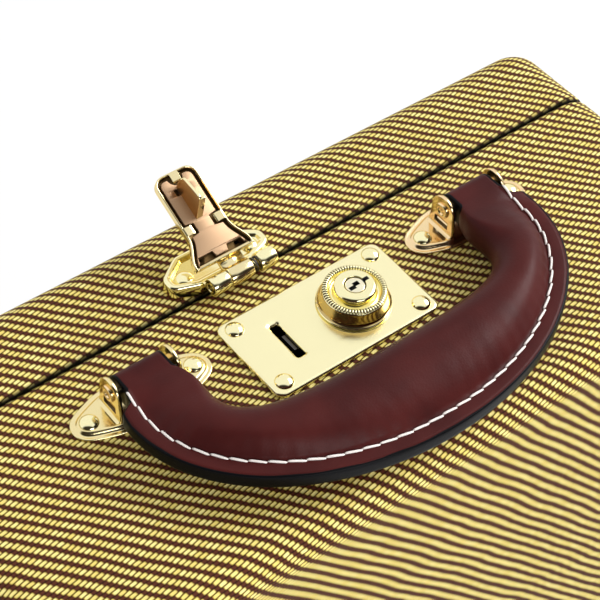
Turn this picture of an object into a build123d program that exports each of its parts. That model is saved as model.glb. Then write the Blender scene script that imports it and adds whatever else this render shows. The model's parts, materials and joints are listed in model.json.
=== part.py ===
from build123d import *
import math
import os

# Harmonica case, standing on its hinge side with the handle side up.
# X runs along the seam, +Y goes from the base to the lid, +Z is up.
# The origin is the middle of the footprint, on the surface the feet stand on.
# All sizes are in millimetres.

# Case halves
LENGTH = 260.0
HEIGHT = 200.0
BASE_DEPTH = 85.0
LID_DEPTH = 32.0
CORNER_R = 14.0
EDGE_R = 9.5
WALL = 7.0
PANEL = 5.0
CLOTH = 1.0
ROLL_R = 1.6
SEAM_GAP = 0.7
SMALLEST_R = 0.8
CUT_REACH = 30.0

# Linings and the tongue that guides the lid
LID_LINING = 0.8
TONGUE_CLEARANCE = 0.4
TONGUE = 3.0
TONGUE_RISE = 6.0
TONGUE_DROP = 6.0

# Padded lid lining: share of its crown, and how far it is drawn in there
PAD_CROWN = 19.0
PAD_MARGIN = 7.0
PAD_CORNER_R = 12.0
PAD_LAYERS = [(0.0, 3.0), (0.3, 0.0), (0.65, 2.5), (0.9, 13.0), (1.0, 34.0)]

# Rack for the harmonicas, each 102 x 20 x 27
SLOT_COUNT = 7
SLOT_LENGTH = 103.0
SLOT_DEPTH = 16.0
DIVIDER = 4.6
RAIL = 6.0
RACK_FIT = 0.2
PARTITION = 5.0

# Feet, on the hinge side
FOOT_H = 8.0
FOOT_R = 8.0
FOOT_SINK = 3.2
FOOT_EDGE_R = 2.0
FOOT_NAIL_FIT = 0.4
FOOT_INSET_X = 26.0
FOOT_INSET_BACK = 20.0
FOOT_INSET_SEAM = 12.0

# Stop hinges
HINGE_INSET_X = 60.0
HINGE_W = 36.0
HINGE_LEAF = 18.0
HINGE_RIVET_Y = 11.2
HINGE_SHEET = 1.2
KNUCKLE_R = 2.4
HINGE_PIN_R = 1.2
HINGE_KNUCKLE_GAP = 0.35
HINGE_STOP = 4.6
LID_OPEN_DEG = 105.0

# Rivets with domed heads
RIVET_HEAD_R = 2.75
RIVET_HEAD_H = 1.3
RIVET_EDGE_H = 0.325
RIVET_SHANK_R = 1.2

# Lock plate
PLATE_L = 58.0
PLATE_W = 31.4
PLATE_T = 1.5
PLATE_CORNER_R = 3.0
PLATE_EDGE_R = 1.1
PLATE_Y = -28.3
PLATE_RIVET_INSET_X = 4.5
PLATE_RIVET_INSET_Y = 4.2
LOCK_CASE_INSET = 3.0
LOCK_CASE_W = 17.0
LOCK_CASE_SHEET = 0.8
LOCK_CASE_FIT = 0.3

# Knob, which slides to draw the bolt, and the key plug inside it
KNOB_X = 9.0
KNOB_BASE_R = 11.0
KNOB_TOP_R = 9.3
KNOB_H = 5.6
KNOB_LIFT = 0.3
KNOB_RIM_H = 0.9
KNOB_GROOVE_R = 7.0
KNOB_NECK_H = 1.0
KNOB_FLARE = 0.5
KNOB_GROOVE_D = 1.8
KNOB_DISC_R = 6.2
KNOB_DISC_RISE = 1.7
KNOB_CHAMFER = 0.5
KNOB_TEETH = 64
KNOB_TOOTH = 0.35
KNOB_RING_H = 1.1
KNOB_RELEASE = 4.5
KNOB_ENGAGE = 2.0
STEM_R = 4.2
STEM_FIT = 0.3
HUB_RING = 1.2
PLUG_R = 3.1
PLUG_SINK = 0.3
RUNNING_FIT = 0.05
KEYWAY_L = 4.4
KEYWAY_W = 1.0
KEYWAY_STEP = 0.45
KEYWAY_OVERLAP = 0.2
KEYWAY_DEPTH = 6.0
CAM_R = 2.4
CAM_T = 1.0
CAM_REACH = 5.2
CAM_GAP = 0.35
CAM_RING = 1.4

# Bolt and its spring
BOLT_W = 6.0
BOLT_T = 2.0
BOLT_TOP = -0.5
BOLT_NOSE_H = 4.2
BOLT_NOSE_L = 2.6
BOLT_TAIL = 1.0
SPRING_WIRE = 0.6
BOLT_SPRING_R = 1.6
BOLT_SPRING_TURNS = 4

# Latch on the lid: bracket, pin and torsion spring
LATCH_X = -14.3
AXIS_Y = -3.0
AXIS_Z = 5.5
BARREL_R = 2.4
LATCH_PIN_R = 1.2
LATCH_SHEET = 1.1
BRACKET_H = 4.4
BRACKET_HALF = 17.6
BRACKET_BACK = 14.0
BRACKET_SIDE = 6.0
BRACKET_SIDE_HALF = 3.0
BRACKET_CORNER_R = 3.0
BRACKET_EDGE_R = 1.0
BRACKET_FRONT = 9.4
BRACKET_RIVET_X = 11.4
BRACKET_RIVET_Y = 5.6
BRACKET_POCKET_R = 3.7
BRACKET_POCKET_D = 1.3
BRACKET_POCKET_LIP = 0.4
LEFT_KNUCKLE_L = 5.9
HASP_KNUCKLE_L = 7.8
SPRING_SPACE = 4.2
RIGHT_KNUCKLE_L = 3.4
KNUCKLE_GAP = 0.3
BARREL_LEFT = -8.6
TORSION_SPRING_R = 2.0
TORSION_TURNS = 3

# Hasp, drawn closed and then turned open
HASP_OPEN_DEG = 155.0
HASP_L = 36.0
HASP_W = 14.0
HASP_ROOT_W = 20.0
HASP_ROOT = 5.5
HASP_ROOT_STEP = 1.0
HASP_NECK = 15.0
HASP_TIP_R = 3.0
HASP_TOP = 1.2
HASP_RIM = 3.0
HASP_SHEET = 0.9
BACKING_T = 0.8
BACKING_GAP = 0.9
BACKING_SINK = 0.6
TAB_W = 2.4
TAB_L = 1.6
TAB_S = 17.0
FIN_T = 0.9
FIN_X = -15.1
FIN_START = 19.0
FIN_RADIUS = 31.7
FIN_TIP = 12.2
FIN_WEB = 1.4
FIN_BOLT_GAP = 0.4
SLOT_W = 2.8
SLOT_END_GAP = 0.35
SLOT_CORNER_R = 0.6

# Handle mounts
MOUNT_X = 58.3
MOUNT_Y = -20.5
MOUNT_T = 1.2
MOUNT_PAD = 0.5
MOUNT_PAD_INSET = 1.8
MOUNT_WAIST = 16.5
MOUNT_LOBE_R = 5.5
MOUNT_RIVET_X = 17.0
EAR_X = 9.7
EAR_W = 9.0
EAR_T = 1.2
EAR_WINDOW_W = 3.2
EAR_WINDOW_H = 2.4
EAR_WINDOW_LIFT = 1.2
PIN_Z = 9.2
PIN_R = 1.9
PIN_HEAD_R = 2.6
PIN_HEAD_T = 0.8

# Handle, lying flat on the base side
GRIP_T = 17.4
GRIP_THINNING = 3.4
THINNING_START_DEG = 55.0
LEG_T = 10.6
LEG_MIDDLE = 0.5
LOOP_R = 3.8
LOOP_W = 15.6
OUTER_HALF = 71.2
OUTER_DROP = 50.0
INNER_HALF = 47.8
INNER_DROP = 18.3
INNER_POWER = 3.5
BEND_Y = -34.5
LEG_START = 4.2
FLANGE_T = 4.6
FLANGE_W = 5.2
FLANGE_SHARE = 0.25
LEG_OVERLAP = 0.2
SHORTEST_SLOPE = 1.0
LEATHER_T = 1.8
CORE_EDGE = 0.8
STRAP_T = 1.2
STRAP_INSET = 3.4
STRAP_W = 9.0
EYE_T = 1.0
STATION_STEP_DEG = 15

# Values worked out from the ones above
DEPTH = BASE_DEPTH + LID_DEPTH
SEAM_Y = BASE_DEPTH - DEPTH / 2
MID_Z = FOOT_H + HEIGHT / 2
TOP_Z = FOOT_H + HEIGHT
HINGE_X = LENGTH / 2 - HINGE_INSET_X
PLATE_RIVET_X = PLATE_L / 2 - PLATE_RIVET_INSET_X
PLATE_RIVET_Y = PLATE_W / 2 - PLATE_RIVET_INSET_Y
LOCK_CASE_L = PLATE_L - 2 * LOCK_CASE_INSET
SKIN = CLOTH + WALL
RIM = SEAM_GAP / 2
BASE_LINING = LID_LINING + TONGUE_CLEARANCE
BASE_FLOOR = BASE_DEPTH - CLOTH - PANEL
LID_FLOOR = LID_DEPTH - CLOTH - PANEL
SLOT_NEAR = FIN_START - SLOT_END_GAP
SLOT_FAR = math.sqrt(FIN_RADIUS ** 2 - (AXIS_Z - PLATE_T) ** 2) + SLOT_END_GAP
RACK_INSET = SKIN + BASE_LINING + RACK_FIT
RACK_X0 = -LENGTH / 2 + RACK_INSET
RACK_X1 = RACK_X0 + SLOT_LENGTH + 2 * RAIL
RACK_Z0 = FOOT_H + RACK_INSET
RACK_Z1 = FOOT_H + HEIGHT - RACK_INSET
RACK_FLOOR = SEAM_Y - BASE_FLOOR + BASE_LINING
RACK_TOP = SEAM_Y - TONGUE_DROP
SLOT_FLOOR = RACK_TOP - SLOT_DEPTH


def on_face(x, y, z):
    """A place given from the middle of the seam on the handle side."""
    return Pos(x, SEAM_Y + y, TOP_Z + z)


def in_base(solid):
    """Place a tray drawn with its rim at z = 0 and its floor at +z as the base."""
    return Pos(0, SEAM_Y, MID_Z) * Rot(90, 0, 0) * solid


def in_lid(solid):
    """Place a tray drawn the same way as the lid."""
    return Pos(0, SEAM_Y, MID_Z) * Rot(-90, 0, 0) * solid


def block(x0, x1, y0, y1, z0, z1):
    """A box between two corners."""
    box = Box(x1 - x0, y1 - y0, z1 - z0)
    return Pos((x0 + x1) / 2, (y0 + y1) / 2, (z0 + z1) / 2) * box


def rod(radius, x0, x1):
    """A cylinder along X between two places."""
    return Pos((x0 + x1) / 2, 0, 0) * Rot(0, 90, 0) * Cylinder(radius, x1 - x0)


def slab(inset, low, high):
    """A prism of the case's outline, drawn in by inset, from low to high."""
    radius = max(CORNER_R - inset, SMALLEST_R)
    outline = RectangleRounded(LENGTH - 2 * inset, HEIGHT - 2 * inset, radius)
    return Pos(0, 0, low) * extrude(outline, high - low)


def tray_body(depth, inset, rim):
    """A filled half of the case with its big face's edge rounded."""
    body = slab(inset, rim, depth - inset)
    edges = body.faces().sort_by(Axis.Z)[-1].edges()
    return fillet(edges, EDGE_R - inset)


def wood(depth):
    """The wooden half, without its cavity, as walls and panel in one."""
    return tray_body(depth, CLOTH, RIM + CLOTH)


def tray_walls(depth):
    floor = depth - CLOTH - PANEL
    return (wood(depth) & slab(0, 0, floor)) - slab(SKIN, 0, floor)


def tray_panel(depth):
    floor = depth - CLOTH - PANEL
    return wood(depth) & slab(0, floor, depth)


def tray_cloth(depth):
    """The glued cloth, rolled over the rim as far as the cavity."""
    cloth = tray_body(depth, 0, RIM)
    cloth = fillet(cloth.faces().sort_by(Axis.Z)[0].edges(), ROLL_R)
    return cloth - wood(depth) - slab(SKIN, 0, depth - CLOTH - PANEL)


def tray_lining(floor, thickness):
    return slab(SKIN, RIM + CLOTH, floor) - slab(SKIN + thickness, 0, floor - thickness)


def rivet(reach):
    """A domed rivet with its head above z = 0 and its shank below."""
    rise = RIVET_HEAD_H - RIVET_EDGE_H
    dome_r = (RIVET_HEAD_R ** 2 + rise ** 2) / (2 * rise)
    dome = Face(Wire([
        Line((0, 0), (RIVET_HEAD_R, 0)),
        Line((RIVET_HEAD_R, 0), (RIVET_HEAD_R, RIVET_EDGE_H)),
        RadiusArc((RIVET_HEAD_R, RIVET_EDGE_H), (0, RIVET_HEAD_H), -dome_r),
        Line((0, RIVET_HEAD_H), (0, 0)),
    ]))
    head = revolve(Rot(90, 0, 0) * dome, Axis.Z)
    return head + Pos(0, 0, -reach / 2) * Cylinder(RIVET_SHANK_R, reach)


def shank_hole():
    return Cylinder(RIVET_SHANK_R, 2 * CUT_REACH)


def coil_gap(path, wire, turns):
    """The least gap between one turn and the next, measured on points."""
    count = 24 * turns
    points = [path @ (i / count) for i in range(count + 1)]
    pairs = [(points[i], points[j]) for i in range(count + 1) for j in range(i + 12, count + 1)]
    return min((a - b).length for a, b in pairs) - wire


def coil(radius, wire, turns, pitch):
    """An open coil along +Z from z = 0, swept along one helix."""
    path = Helix(pitch=pitch, height=pitch * turns, radius=radius)
    print(f"least gap between the turns of a {turns} turn spring: {coil_gap(path, wire, turns):.2f} mm")
    section = Plane(origin=path @ 0, z_dir=path % 0) * Circle(wire / 2)
    return sweep(section, path)


def plate_rivet_places():
    return [(sx * PLATE_RIVET_X, PLATE_Y + sy * PLATE_RIVET_Y) for sx in (-1, 1) for sy in (-1, 1)]


def mount_rivet_places():
    return [(sm * MOUNT_X + sx * MOUNT_RIVET_X, MOUNT_Y) for sm in (-1, 1) for sx in (-1, 1)]


def latch_rivet_places():
    return [(LATCH_X + sx * BRACKET_RIVET_X, BRACKET_RIVET_Y) for sx in (-1, 1)]


def hinge_rivet_places(side):
    """Rivets of both hinges, side -1 in the base and +1 in the lid."""
    offsets = [-HINGE_W / 3, 0, HINGE_W / 3]
    return [(sh * HINGE_X + dx, side * HINGE_RIVET_Y) for sh in (-1, 1) for dx in offsets]


def foot_places():
    x = LENGTH / 2 - FOOT_INSET_X
    rows = [-DEPTH / 2 + FOOT_INSET_BACK, SEAM_Y - FOOT_INSET_SEAM]
    return [(sx * x, y) for sx in (-1, 1) for y in rows]


def top_holes(places):
    return [on_face(x, y, 0) * shank_hole() for x, y in places]


def bottom_holes(places):
    return [Pos(x, SEAM_Y + y, FOOT_H) * shank_hole() for x, y in places]


def lock_recess():
    """The room cut in the handle side for the lock's case."""
    fit = LOCK_CASE_FIT
    return on_face(0, PLATE_Y, 0) * block(
        -LOCK_CASE_L / 2 - fit, LOCK_CASE_L / 2 + fit,
        -LOCK_CASE_W / 2 - fit, LOCK_CASE_W / 2 + fit,
        -SKIN, CLOTH,
    )


def base_cuts():
    nails = [Pos(x, y, FOOT_H) * shank_hole() for x, y in foot_places()]
    rivets = top_holes(plate_rivet_places() + mount_rivet_places())
    return rivets + bottom_holes(hinge_rivet_places(-1)) + nails + [lock_recess()]


def lid_cuts():
    return top_holes(latch_rivet_places()) + bottom_holes(hinge_rivet_places(1))


def cut_all(solid, cuts):
    for cut in cuts:
        solid = solid - cut
    return solid


def base_walls():
    return cut_all(in_base(tray_walls(BASE_DEPTH)), base_cuts())


def base_tweed():
    return cut_all(in_base(tray_cloth(BASE_DEPTH)), base_cuts())


def lid_walls():
    return cut_all(in_lid(tray_walls(LID_DEPTH)), lid_cuts())


def lid_tweed():
    return cut_all(in_lid(tray_cloth(LID_DEPTH)), lid_cuts())


def base_tongue():
    inner = SKIN + BASE_LINING
    ring = slab(inner, -TONGUE_RISE, TONGUE_DROP) - slab(inner + TONGUE, -TONGUE_RISE, TONGUE_DROP)
    return in_base(ring)


def lid_pad():
    """The padded lining: narrow at its back, fullest low down, crowned in front."""
    floor = LID_FLOOR - LID_LINING
    base_inset = SKIN + LID_LINING + PAD_MARGIN
    sections = []
    for share, extra in PAD_LAYERS:
        inset = base_inset + extra
        outline = RectangleRounded(LENGTH - 2 * inset, HEIGHT - 2 * inset, PAD_CORNER_R)
        sections.append(Pos(0, 0, floor - share * PAD_CROWN) * outline)
    return in_lid(loft(sections))


def soft_corner(solid):
    """Round off what stands in the rounded corners of the lining."""
    return solid & in_base(slab(RACK_INSET, 0, BASE_DEPTH))


def rack_block():
    return soft_corner(block(RACK_X0, RACK_X1, RACK_FLOOR, SLOT_FLOOR, RACK_Z0, RACK_Z1))


def rack_dividers():
    pitch = (RACK_Z1 - RACK_Z0 - DIVIDER) / SLOT_COUNT
    bars = []
    for i in range(SLOT_COUNT + 1):
        low = RACK_Z0 + i * pitch
        bars.append(block(RACK_X0 + RAIL, RACK_X1 - RAIL, SLOT_FLOOR, RACK_TOP, low, low + DIVIDER))
    return Compound(bars)


def rack_rails():
    left = soft_corner(block(RACK_X0, RACK_X0 + RAIL, SLOT_FLOOR, RACK_TOP, RACK_Z0, RACK_Z1))
    right = block(RACK_X1 - RAIL, RACK_X1, SLOT_FLOOR, RACK_TOP, RACK_Z0, RACK_Z1)
    return Compound([left, right])


def partition():
    return block(RACK_X1, RACK_X1 + PARTITION, RACK_FLOOR, RACK_TOP, RACK_Z0, RACK_Z1)


def feet():
    pads = []
    for x, y in foot_places():
        pad = Pos(0, 0, FOOT_H / 2) * Cylinder(FOOT_R, FOOT_H)
        pad = fillet(pad.faces().sort_by(Axis.Z)[0].edges(), FOOT_EDGE_R)
        pad -= Pos(0, 0, FOOT_SINK / 2) * Cylinder(RIVET_HEAD_R + FOOT_NAIL_FIT, FOOT_SINK)
        pad -= shank_hole()
        pads.append(Pos(x, y, 0) * pad)
    return Compound(pads)


def foot_nails():
    nail = Pos(0, 0, FOOT_SINK) * Rot(180, 0, 0) * rivet(FOOT_H - FOOT_SINK + SKIN - CLOTH)
    return Compound([Pos(x, y, 0) * nail for x, y in foot_places()])


def hinge_place(side):
    return Pos(side * HINGE_X, SEAM_Y, FOOT_H - KNUCKLE_R)


def hinge_leaf(direction):
    """One leaf in the hinge's own frame: direction -1 to the base, +1 to the lid."""
    third = HINGE_W / 3
    gap = HINGE_KNUCKLE_GAP / 2
    near, far = sorted((0.0, direction * HINGE_LEAF))
    leaf = block(-HINGE_W / 2, HINGE_W / 2, near, far, KNUCKLE_R - HINGE_SHEET, KNUCKLE_R)
    leaf = leaf - rod(KNUCKLE_R + HINGE_KNUCKLE_GAP, -HINGE_W, HINGE_W)
    if direction < 0:
        spans = [(-HINGE_W / 2, -third / 2 - gap), (third / 2 + gap, HINGE_W / 2)]
    else:
        spans = [(-third / 2 + gap, third / 2 - gap)]
    for x0, x1 in spans:
        leaf += rod(KNUCKLE_R, x0, x1)
        y0, y1 = sorted((0.0, direction * (KNUCKLE_R + 2 * HINGE_KNUCKLE_GAP)))
        leaf += block(x0, x1, y0, y1, KNUCKLE_R - HINGE_SHEET, KNUCKLE_R)
    if direction > 0:
        heel = block(-third / 2 + gap, third / 2 - gap, 0, HINGE_STOP, -HINGE_SHEET / 2, HINGE_SHEET / 2)
        leaf += Rot(180 + LID_OPEN_DEG, 0, 0) * heel
    return leaf


def hinge_leaf_part(side, direction):
    bore = HINGE_PIN_R + (RUNNING_FIT if direction > 0 else 0)
    leaf = hinge_leaf(direction) - rod(bore, -HINGE_W, HINGE_W)
    leaf = hinge_place(side) * leaf
    return cut_all(leaf, bottom_holes(hinge_rivet_places(direction)))


def hinge_pins():
    return Compound([hinge_place(s) * rod(HINGE_PIN_R, -HINGE_W / 2, HINGE_W / 2) for s in (-1, 1)])


def hinge_rivets(direction):
    fastener = Rot(180, 0, 0) * rivet(SKIN + HINGE_SHEET)
    z = FOOT_H - HINGE_SHEET
    return Compound([Pos(x, SEAM_Y + y, z) * fastener for x, y in hinge_rivet_places(direction)])


def hook_slot():
    """The plate's slot for the hasp's fin, with soft corners."""
    x = FIN_X - FIN_T / 2 - SLOT_END_GAP + SLOT_W / 2
    y = AXIS_Y - (SLOT_NEAR + SLOT_FAR) / 2
    outline = RectangleRounded(SLOT_W, SLOT_FAR - SLOT_NEAR, SLOT_CORNER_R)
    return on_face(x, y, 0) * extrude(outline, CUT_REACH, both=True)


def lock_plate():
    outline = RectangleRounded(PLATE_L, PLATE_W, PLATE_CORNER_R)
    plate = on_face(0, PLATE_Y, 0) * extrude(outline, PLATE_T)
    plate = fillet(plate.faces().sort_by(Axis.Z)[-1].edges(), PLATE_EDGE_R)
    travel = KNOB_RELEASE + KNOB_ENGAGE
    stem_r = STEM_R + STEM_FIT
    opening = extrude(SlotCenterToCenter(travel, 2 * stem_r), CUT_REACH, both=True)
    plate -= on_face(KNOB_X + (KNOB_RELEASE - KNOB_ENGAGE) / 2, PLATE_Y, 0) * opening
    plate -= hook_slot()
    return cut_all(plate, top_holes(plate_rivet_places()))


def lock_rivets():
    fastener = rivet(SKIN + PLATE_T)
    return Compound([on_face(x, y, PLATE_T) * fastener for x, y in plate_rivet_places()])


def lock_case():
    """An open tray of thin sheet, up against the back of the plate."""
    x = LOCK_CASE_L / 2
    y = LOCK_CASE_W / 2
    t = LOCK_CASE_SHEET
    tray = block(-x, x, -y, y, -SKIN, 0) - block(-x + t, x - t, -y + t, y - t, -SKIN + t, t)
    return on_face(0, PLATE_Y, 0) * tray


def knob_body():
    """The flared knob with its groove, centre disc and hollow stem."""
    base = KNOB_LIFT
    top = base + KNOB_H
    ring_floor = top - KNOB_RING_H
    stem_low = BOLT_TOP - PLATE_T
    groove = top - KNOB_GROOVE_D
    disc = top + KNOB_DISC_RISE
    shape = Face(Wire(Polyline([
        (0, stem_low), (STEM_R, stem_low), (STEM_R, base), (KNOB_BASE_R, base),
        (KNOB_BASE_R, base + KNOB_RIM_H), (KNOB_TOP_R + KNOB_FLARE, ring_floor - KNOB_NECK_H),
        (KNOB_TOP_R, ring_floor), (KNOB_GROOVE_R, ring_floor), (KNOB_GROOVE_R, groove),
        (KNOB_DISC_R, groove), (KNOB_DISC_R, disc - KNOB_CHAMFER),
        (KNOB_DISC_R - KNOB_CHAMFER, disc), (0, disc), (0, stem_low),
    ])))
    knob = revolve(Rot(90, 0, 0) * shape, Axis.Z)
    knob -= Cylinder(PLUG_R + RUNNING_FIT, 2 * CUT_REACH)
    return on_face(KNOB_X, PLATE_Y, PLATE_T) * knob


def knob_ring():
    """The milled ring round the knob's top."""
    points = []
    for i in range(KNOB_TEETH):
        turn = 2 * math.pi * i / KNOB_TEETH
        half = math.pi / KNOB_TEETH
        for radius, angle in ((KNOB_TOP_R, turn), (KNOB_TOP_R - KNOB_TOOTH, turn + half)):
            points.append((radius * math.cos(angle), radius * math.sin(angle)))
    ring = make_face(Polyline(*points, close=True)) - Circle(KNOB_GROOVE_R)
    z = PLATE_T + KNOB_LIFT + KNOB_H - KNOB_RING_H
    return on_face(KNOB_X, PLATE_Y, z) * extrude(ring, KNOB_RING_H)


def bolt():
    """The flat bolt with a tall nose that the fin's window goes over."""
    fin_right = FIN_X + FIN_T / 2
    nose = fin_right + SLOT_END_GAP
    low = BOLT_TOP - BOLT_T
    bar = block(nose, KNOB_X + STEM_R + BOLT_TAIL, -BOLT_W / 2, BOLT_W / 2, low, BOLT_TOP)
    bar += block(nose, nose + BOLT_NOSE_L, -BOLT_W / 2, BOLT_W / 2, BOLT_TOP - BOLT_NOSE_H, BOLT_TOP)
    bar = on_face(0, PLATE_Y, 0) * bar
    bar += on_face(KNOB_X, PLATE_Y, BOLT_TOP - BOLT_T / 2) * Cylinder(STEM_R + HUB_RING, BOLT_T)
    return bar - on_face(KNOB_X, PLATE_Y, 0) * Cylinder(PLUG_R + RUNNING_FIT, 2 * CUT_REACH)


def bolt_spring():
    """The spring that pushes the bolt out, at its shortest length."""
    wall = LOCK_CASE_L / 2 - LOCK_CASE_SHEET
    bolt_end = KNOB_X + STEM_R + BOLT_TAIL + KNOB_RELEASE
    length = wall - bolt_end - SPRING_WIRE - 2 * SLOT_END_GAP
    pitch = length / BOLT_SPRING_TURNS
    spring = Rot(0, 90, 0) * coil(BOLT_SPRING_R, SPRING_WIRE, BOLT_SPRING_TURNS, pitch)
    start = wall - SPRING_WIRE / 2 - length
    return on_face(start, PLATE_Y, BOLT_TOP - BOLT_T / 2 - SPRING_WIRE) * spring


def key_plug():
    """The plug with its stepped keyway, flush with the knob's disc."""
    top = PLATE_T + KNOB_LIFT + KNOB_H + KNOB_DISC_RISE - PLUG_SINK
    low = BOLT_TOP - BOLT_T - CAM_GAP - CAM_T
    plug = Pos(0, 0, (top + low) / 2) * Cylinder(PLUG_R, top - low)
    half = KEYWAY_L / 2
    floor = top - KEYWAY_DEPTH
    for side in (-1, 1):
        x0, x1 = sorted((side * (KEYWAY_STEP - KEYWAY_W / 2), side * (KEYWAY_STEP + KEYWAY_W / 2)))
        y0, y1 = sorted((side * KEYWAY_OVERLAP, -side * half))
        plug -= block(x0, x1, y0, y1, floor, top + KEYWAY_W)
    return on_face(KNOB_X, PLATE_Y, 0) * plug


def key_cam():
    """The cam on the plug's end that blocks the slide when it is turned."""
    top = BOLT_TOP - BOLT_T - CAM_GAP
    arm = Circle(PLUG_R + CAM_RING) + Pos(-CAM_REACH / 2, 0) * Rectangle(CAM_REACH, 2 * CAM_R)
    arm -= Circle(PLUG_R)
    return on_face(KNOB_X, PLATE_Y, top - CAM_T) * extrude(arm, CAM_T)


def bracket_outline(inset):
    """The bracket's six sided outline with soft corners."""
    half = BRACKET_HALF - inset
    points = [
        (-BRACKET_FRONT + inset, AXIS_Y + BARREL_R + inset), (BRACKET_FRONT - inset, AXIS_Y + BARREL_R + inset),
        (half, BRACKET_SIDE - BRACKET_SIDE_HALF), (half, BRACKET_SIDE + BRACKET_SIDE_HALF),
        (BRACKET_FRONT - inset, BRACKET_BACK - inset), (-BRACKET_FRONT + inset, BRACKET_BACK - inset),
        (-half, BRACKET_SIDE + BRACKET_SIDE_HALF), (-half, BRACKET_SIDE - BRACKET_SIDE_HALF),
    ]
    outline = make_face(Polyline(*points, close=True))
    return fillet(outline.vertices(), BRACKET_CORNER_R - inset / 2)


def barrel_spans():
    """Stretches of the barrel along X: left knuckle, hasp, spring, right knuckle."""
    spans = []
    x = LATCH_X + BARREL_LEFT
    for length in (LEFT_KNUCKLE_L, HASP_KNUCKLE_L, SPRING_SPACE, RIGHT_KNUCKLE_L):
        spans.append((x, x + length))
        x += length + KNUCKLE_GAP
    return spans


def latch_bracket():
    pan = extrude(bracket_outline(0), BRACKET_H)
    pan = fillet(pan.faces().sort_by(Axis.Z)[-1].edges(), BRACKET_EDGE_R)
    pan -= extrude(bracket_outline(LATCH_SHEET), BRACKET_H - LATCH_SHEET)
    for side in (-1, 1):
        place = Pos(side * BRACKET_RIVET_X, BRACKET_RIVET_Y, 0)
        floor = BRACKET_H - BRACKET_POCKET_D
        cup = BRACKET_H - LATCH_SHEET / 2
        pan += place * Pos(0, 0, cup / 2) * Cylinder(BRACKET_POCKET_R, cup)
        hollow_r = BRACKET_POCKET_R - BRACKET_POCKET_LIP
        pan -= place * Pos(0, 0, floor + BRACKET_H / 2) * Cylinder(hollow_r, BRACKET_H)
    pan = on_face(LATCH_X, 0, 0) * pan
    left, hasp, spring, right = barrel_spans()
    for x0, x1 in (left, right):
        top = BRACKET_H - AXIS_Z
        knuckle = rod(BARREL_R, x0, x1) + block(x0, x1, 0, BARREL_R + LATCH_SHEET, top - LATCH_SHEET, top)
        pan += on_face(0, AXIS_Y, AXIS_Z) * knuckle
    pan -= on_face(0, AXIS_Y, AXIS_Z) * rod(BARREL_R + KNUCKLE_GAP, left[1], right[0])
    pan -= on_face(0, AXIS_Y, AXIS_Z) * rod(LATCH_PIN_R, left[0] - CUT_REACH, right[1] + CUT_REACH)
    return cut_all(pan, top_holes(latch_rivet_places()))


def latch_rivets():
    fastener = rivet(SKIN + BRACKET_H - BRACKET_POCKET_D)
    z = BRACKET_H - BRACKET_POCKET_D
    return Compound([on_face(x, y, z) * fastener for x, y in latch_rivet_places()])


def latch_pin():
    spans = barrel_spans()
    return on_face(0, AXIS_Y, AXIS_Z) * rod(LATCH_PIN_R, spans[0][0], spans[-1][1])


def latch_spring():
    """The torsion spring round the pin, beside the hasp's knuckle."""
    low, high = barrel_spans()[2]
    length = high - low - SPRING_WIRE
    spring = Rot(0, 90, 0) * coil(TORSION_SPRING_R, SPRING_WIRE, TORSION_TURNS, length / TORSION_TURNS)
    return on_face(low + SPRING_WIRE / 2, AXIS_Y, AXIS_Z) * spring


def hasp_outline(inset):
    """The hasp's outline in plan, with s from the hinge axis drawn as +Y."""
    tip = HASP_W / 2 - inset
    root = HASP_ROOT_W / 2 - inset
    end = HASP_L - inset
    start = HASP_ROOT + inset
    corner = max(HASP_TIP_R - inset, SMALLEST_R)
    shoulder = start + HASP_ROOT_STEP
    lines = [
        Line((-root, start), (root, start)),
        Line((root, start), (root, shoulder)),
        Spline((root, shoulder), (tip, HASP_NECK), tangents=[(0, 1), (0, 1)]),
        Line((tip, HASP_NECK), (tip, end - corner)),
        RadiusArc((tip, end - corner), (tip - corner, end), -corner),
        Line((tip - corner, end), (-tip + corner, end)),
        RadiusArc((-tip + corner, end), (-tip, end - corner), -corner),
        Line((-tip, end - corner), (-tip, HASP_NECK)),
        Spline((-tip, HASP_NECK), (-root, shoulder), tangents=[(0, -1), (0, -1)]),
        Line((-root, shoulder), (-root, start)),
    ]
    return Face(Wire(lines))


def open_hasp(solid):
    """Turn what is drawn closed, with s along +Y, to the open pose on the axis."""
    closed = Rot(0, 0, 180) * solid
    return on_face(0, AXIS_Y, AXIS_Z) * Rot(-HASP_OPEN_DEG, 0, 0) * closed


def hasp_cover():
    """The lipped cover with its knuckle and the tabs that hold the backing."""
    x = -LATCH_X
    rim_low = HASP_TOP - HASP_RIM
    cover = Pos(x, 0, rim_low) * extrude(hasp_outline(0), HASP_RIM)
    cover -= Pos(x, 0, rim_low) * extrude(hasp_outline(HASP_SHEET), HASP_RIM - HASP_SHEET)
    hasp_span = barrel_spans()[1]
    x0, x1 = -hasp_span[1], -hasp_span[0]
    cover += rod(BARREL_R, x0, x1)
    cover += block(x0, x1, 0, HASP_ROOT + HASP_SHEET, HASP_TOP - HASP_SHEET, HASP_TOP)
    tab_top = rim_low + BACKING_SINK
    tab_low = tab_top - BACKING_SINK
    for side in (-1, 1):
        near, far = sorted((side * HASP_W / 2, side * (HASP_W / 2 - HASP_SHEET - BACKING_GAP - TAB_L)))
        cover += Pos(x, 0, 0) * block(near, far, TAB_S - TAB_W / 2, TAB_S + TAB_W / 2, tab_low, tab_top)
    end = HASP_L - HASP_SHEET - BACKING_GAP - TAB_L
    cover += Pos(x, 0, 0) * block(-TAB_W / 2, TAB_W / 2, end, HASP_L, tab_low, tab_top)
    cover -= rod(LATCH_PIN_R + RUNNING_FIT, x0 - CUT_REACH, x1 + CUT_REACH)
    return open_hasp(cover)


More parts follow.
